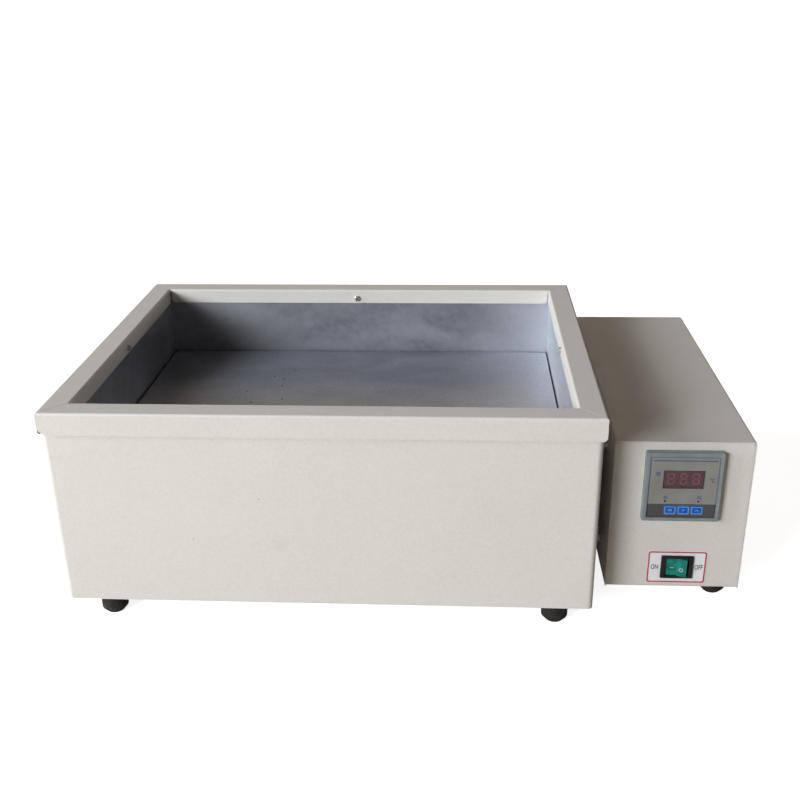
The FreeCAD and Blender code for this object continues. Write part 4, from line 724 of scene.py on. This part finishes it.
def lights():
    """Two windows, one ahead on the left and one at the left side, and a low fill for the back."""
    daylight = (0.985, 0.995, 1.0)
    lamplight = (1.0, 0.97, 0.94)
    aim = (0.0, 0.0, 0.15)
    low_aim = (0.0, 0.0, 0.12)
    area_light("front_window", (-2.95, -3.85, 1.66), aim, (1.8, 1.6), 188.0, daylight)
    area_light("side_window", (-6.20, -1.65, 2.60), aim, (2.7, 2.2), 290.0, daylight)
    fill = area_light("back_fill", (0.90, 5.00, 0.62), low_aim, (3.0, 0.9), 85.0, lamplight)
    fill.visible_glossy = False


def camera_choice(tree, seen_by_others, seen_by_camera):
    """Output of a switch that shows one shader to the camera and another to all other rays."""
    path = tree.nodes.new("ShaderNodeLightPath")
    choice = tree.nodes.new("ShaderNodeMixShader")
    tree.links.new(path.outputs["Is Camera Ray"], choice.inputs[0])
    tree.links.new(seen_by_others, choice.inputs[1])
    tree.links.new(seen_by_camera, choice.inputs[2])
    return choice.outputs[0]


def room():
    """A dim, warm room, brightest at the horizon and below it, that looks white to the camera."""
    world = bpy.data.worlds.new("room")
    world.use_nodes = True
    tree = world.node_tree
    coordinates = tree.nodes.new("ShaderNodeTexCoord")
    split = tree.nodes.new("ShaderNodeSeparateXYZ")
    ramp = tree.nodes.new("ShaderNodeValToRGB")
    horizon, overhead = ramp.color_ramp.elements
    horizon.position = 0.02
    horizon.color = (0.25, 0.18, 0.12, 1.0)
    overhead.position = 0.55
    overhead.color = (0.15, 0.122, 0.098, 1.0)
    dim = tree.nodes["Background"]
    dim.inputs["Strength"].default_value = 0.47
    white = tree.nodes.new("ShaderNodeBackground")
    white.inputs["Color"].default_value = (1.0, 1.0, 1.0, 1.0)
    tree.links.new(coordinates.outputs["Generated"], split.inputs[0])
    tree.links.new(split.outputs["Z"], ramp.inputs[0])
    tree.links.new(ramp.outputs[0], dim.inputs["Color"])
    surface = camera_choice(tree, dim.outputs[0], white.outputs[0])
    tree.links.new(surface, tree.nodes["World Output"].inputs["Surface"])
    bpy.context.scene.world = world


def floor_material():
    """White to the camera; to other rays a duller floor, whose far wall glows faintly."""
    look = Look("pale_floor")
    cloud = look.noise(400.0, detail=2.0)
    look.set(Emission_Color=(1.0, 1.0, 1.0, 1.0), Emission_Strength=0.84)
    material = look.finish(look.mix(cloud, srgb(246, 246, 246), srgb(250, 250, 250)), 0.8)
    dull = look.tree.nodes.new("ShaderNodeBsdfDiffuse")
    dull.inputs["Color"].default_value = (0.56, 0.51, 0.46, 1.0)
    glow = look.tree.nodes.new("ShaderNodeEmission")
    glow.inputs["Color"].default_value = (1.0, 0.86, 0.74, 1.0)
    look.wire(look.spread(look.along("Z"), 1.0, 4.0, 0.0, 0.30), glow.inputs["Strength"])
    both = look.tree.nodes.new("ShaderNodeAddShader")
    look.wire(dull.outputs[0], both.inputs[0])
    look.wire(glow.outputs[0], both.inputs[1])
    surface = camera_choice(look.tree, both.outputs[0], look.shader.outputs[0])
    look.wire(surface, look.tree.nodes["Material Output"].inputs["Surface"])
    return material


# The floor sheet, in metres.
FLOOR_HALF_WIDTH = 9.0
FLOOR_FRONT = -8.0
BEND_START = 6.0
BEND_RADIUS = 3.0
BEND_STEPS = 16
WALL_TOP = 9.0


def floor_profile():
    """Points back and up along the floor, round the bend behind the object and up the wall."""
    profile = [(FLOOR_FRONT, 0.0)]
    for step in range(BEND_STEPS + 1):
        angle = math.pi / 2 * step / BEND_STEPS
        back = BEND_START + BEND_RADIUS * math.sin(angle)
        up = BEND_RADIUS - BEND_RADIUS * math.cos(angle)
        profile.append((back, up))
    profile.append((BEND_START + BEND_RADIUS, WALL_TOP))
    return profile


def floor():
    """Plain sheet that the object stands on, swept up far behind it."""
    sheet = bmesh.new()
    edges = []
    for back, up in floor_profile():
        edges.append([sheet.verts.new((side * FLOOR_HALF_WIDTH, back, up)) for side in (-1, 1)])
    for (left, right), (next_left, next_right) in zip(edges, edges[1:]):
        sheet.faces.new((left, right, next_right, next_left))
    mesh = bpy.data.meshes.new("floor")
    sheet.to_mesh(mesh)
    sheet.free()
    mesh.materials.append(floor_material())
    for polygon in mesh.polygons:
        polygon.use_smooth = True
    ground = bpy.data.objects.new("floor", mesh)
    bpy.context.scene.collection.objects.link(ground)


dress_nodes()
camera()
lights()
room()
floor()
key_band()
film_lines()
window_marks()
lamp_numbers()
key_prints()
label_prints()
rocker_marks()
bpy.context.scene.view_settings.view_transform = "Standard"
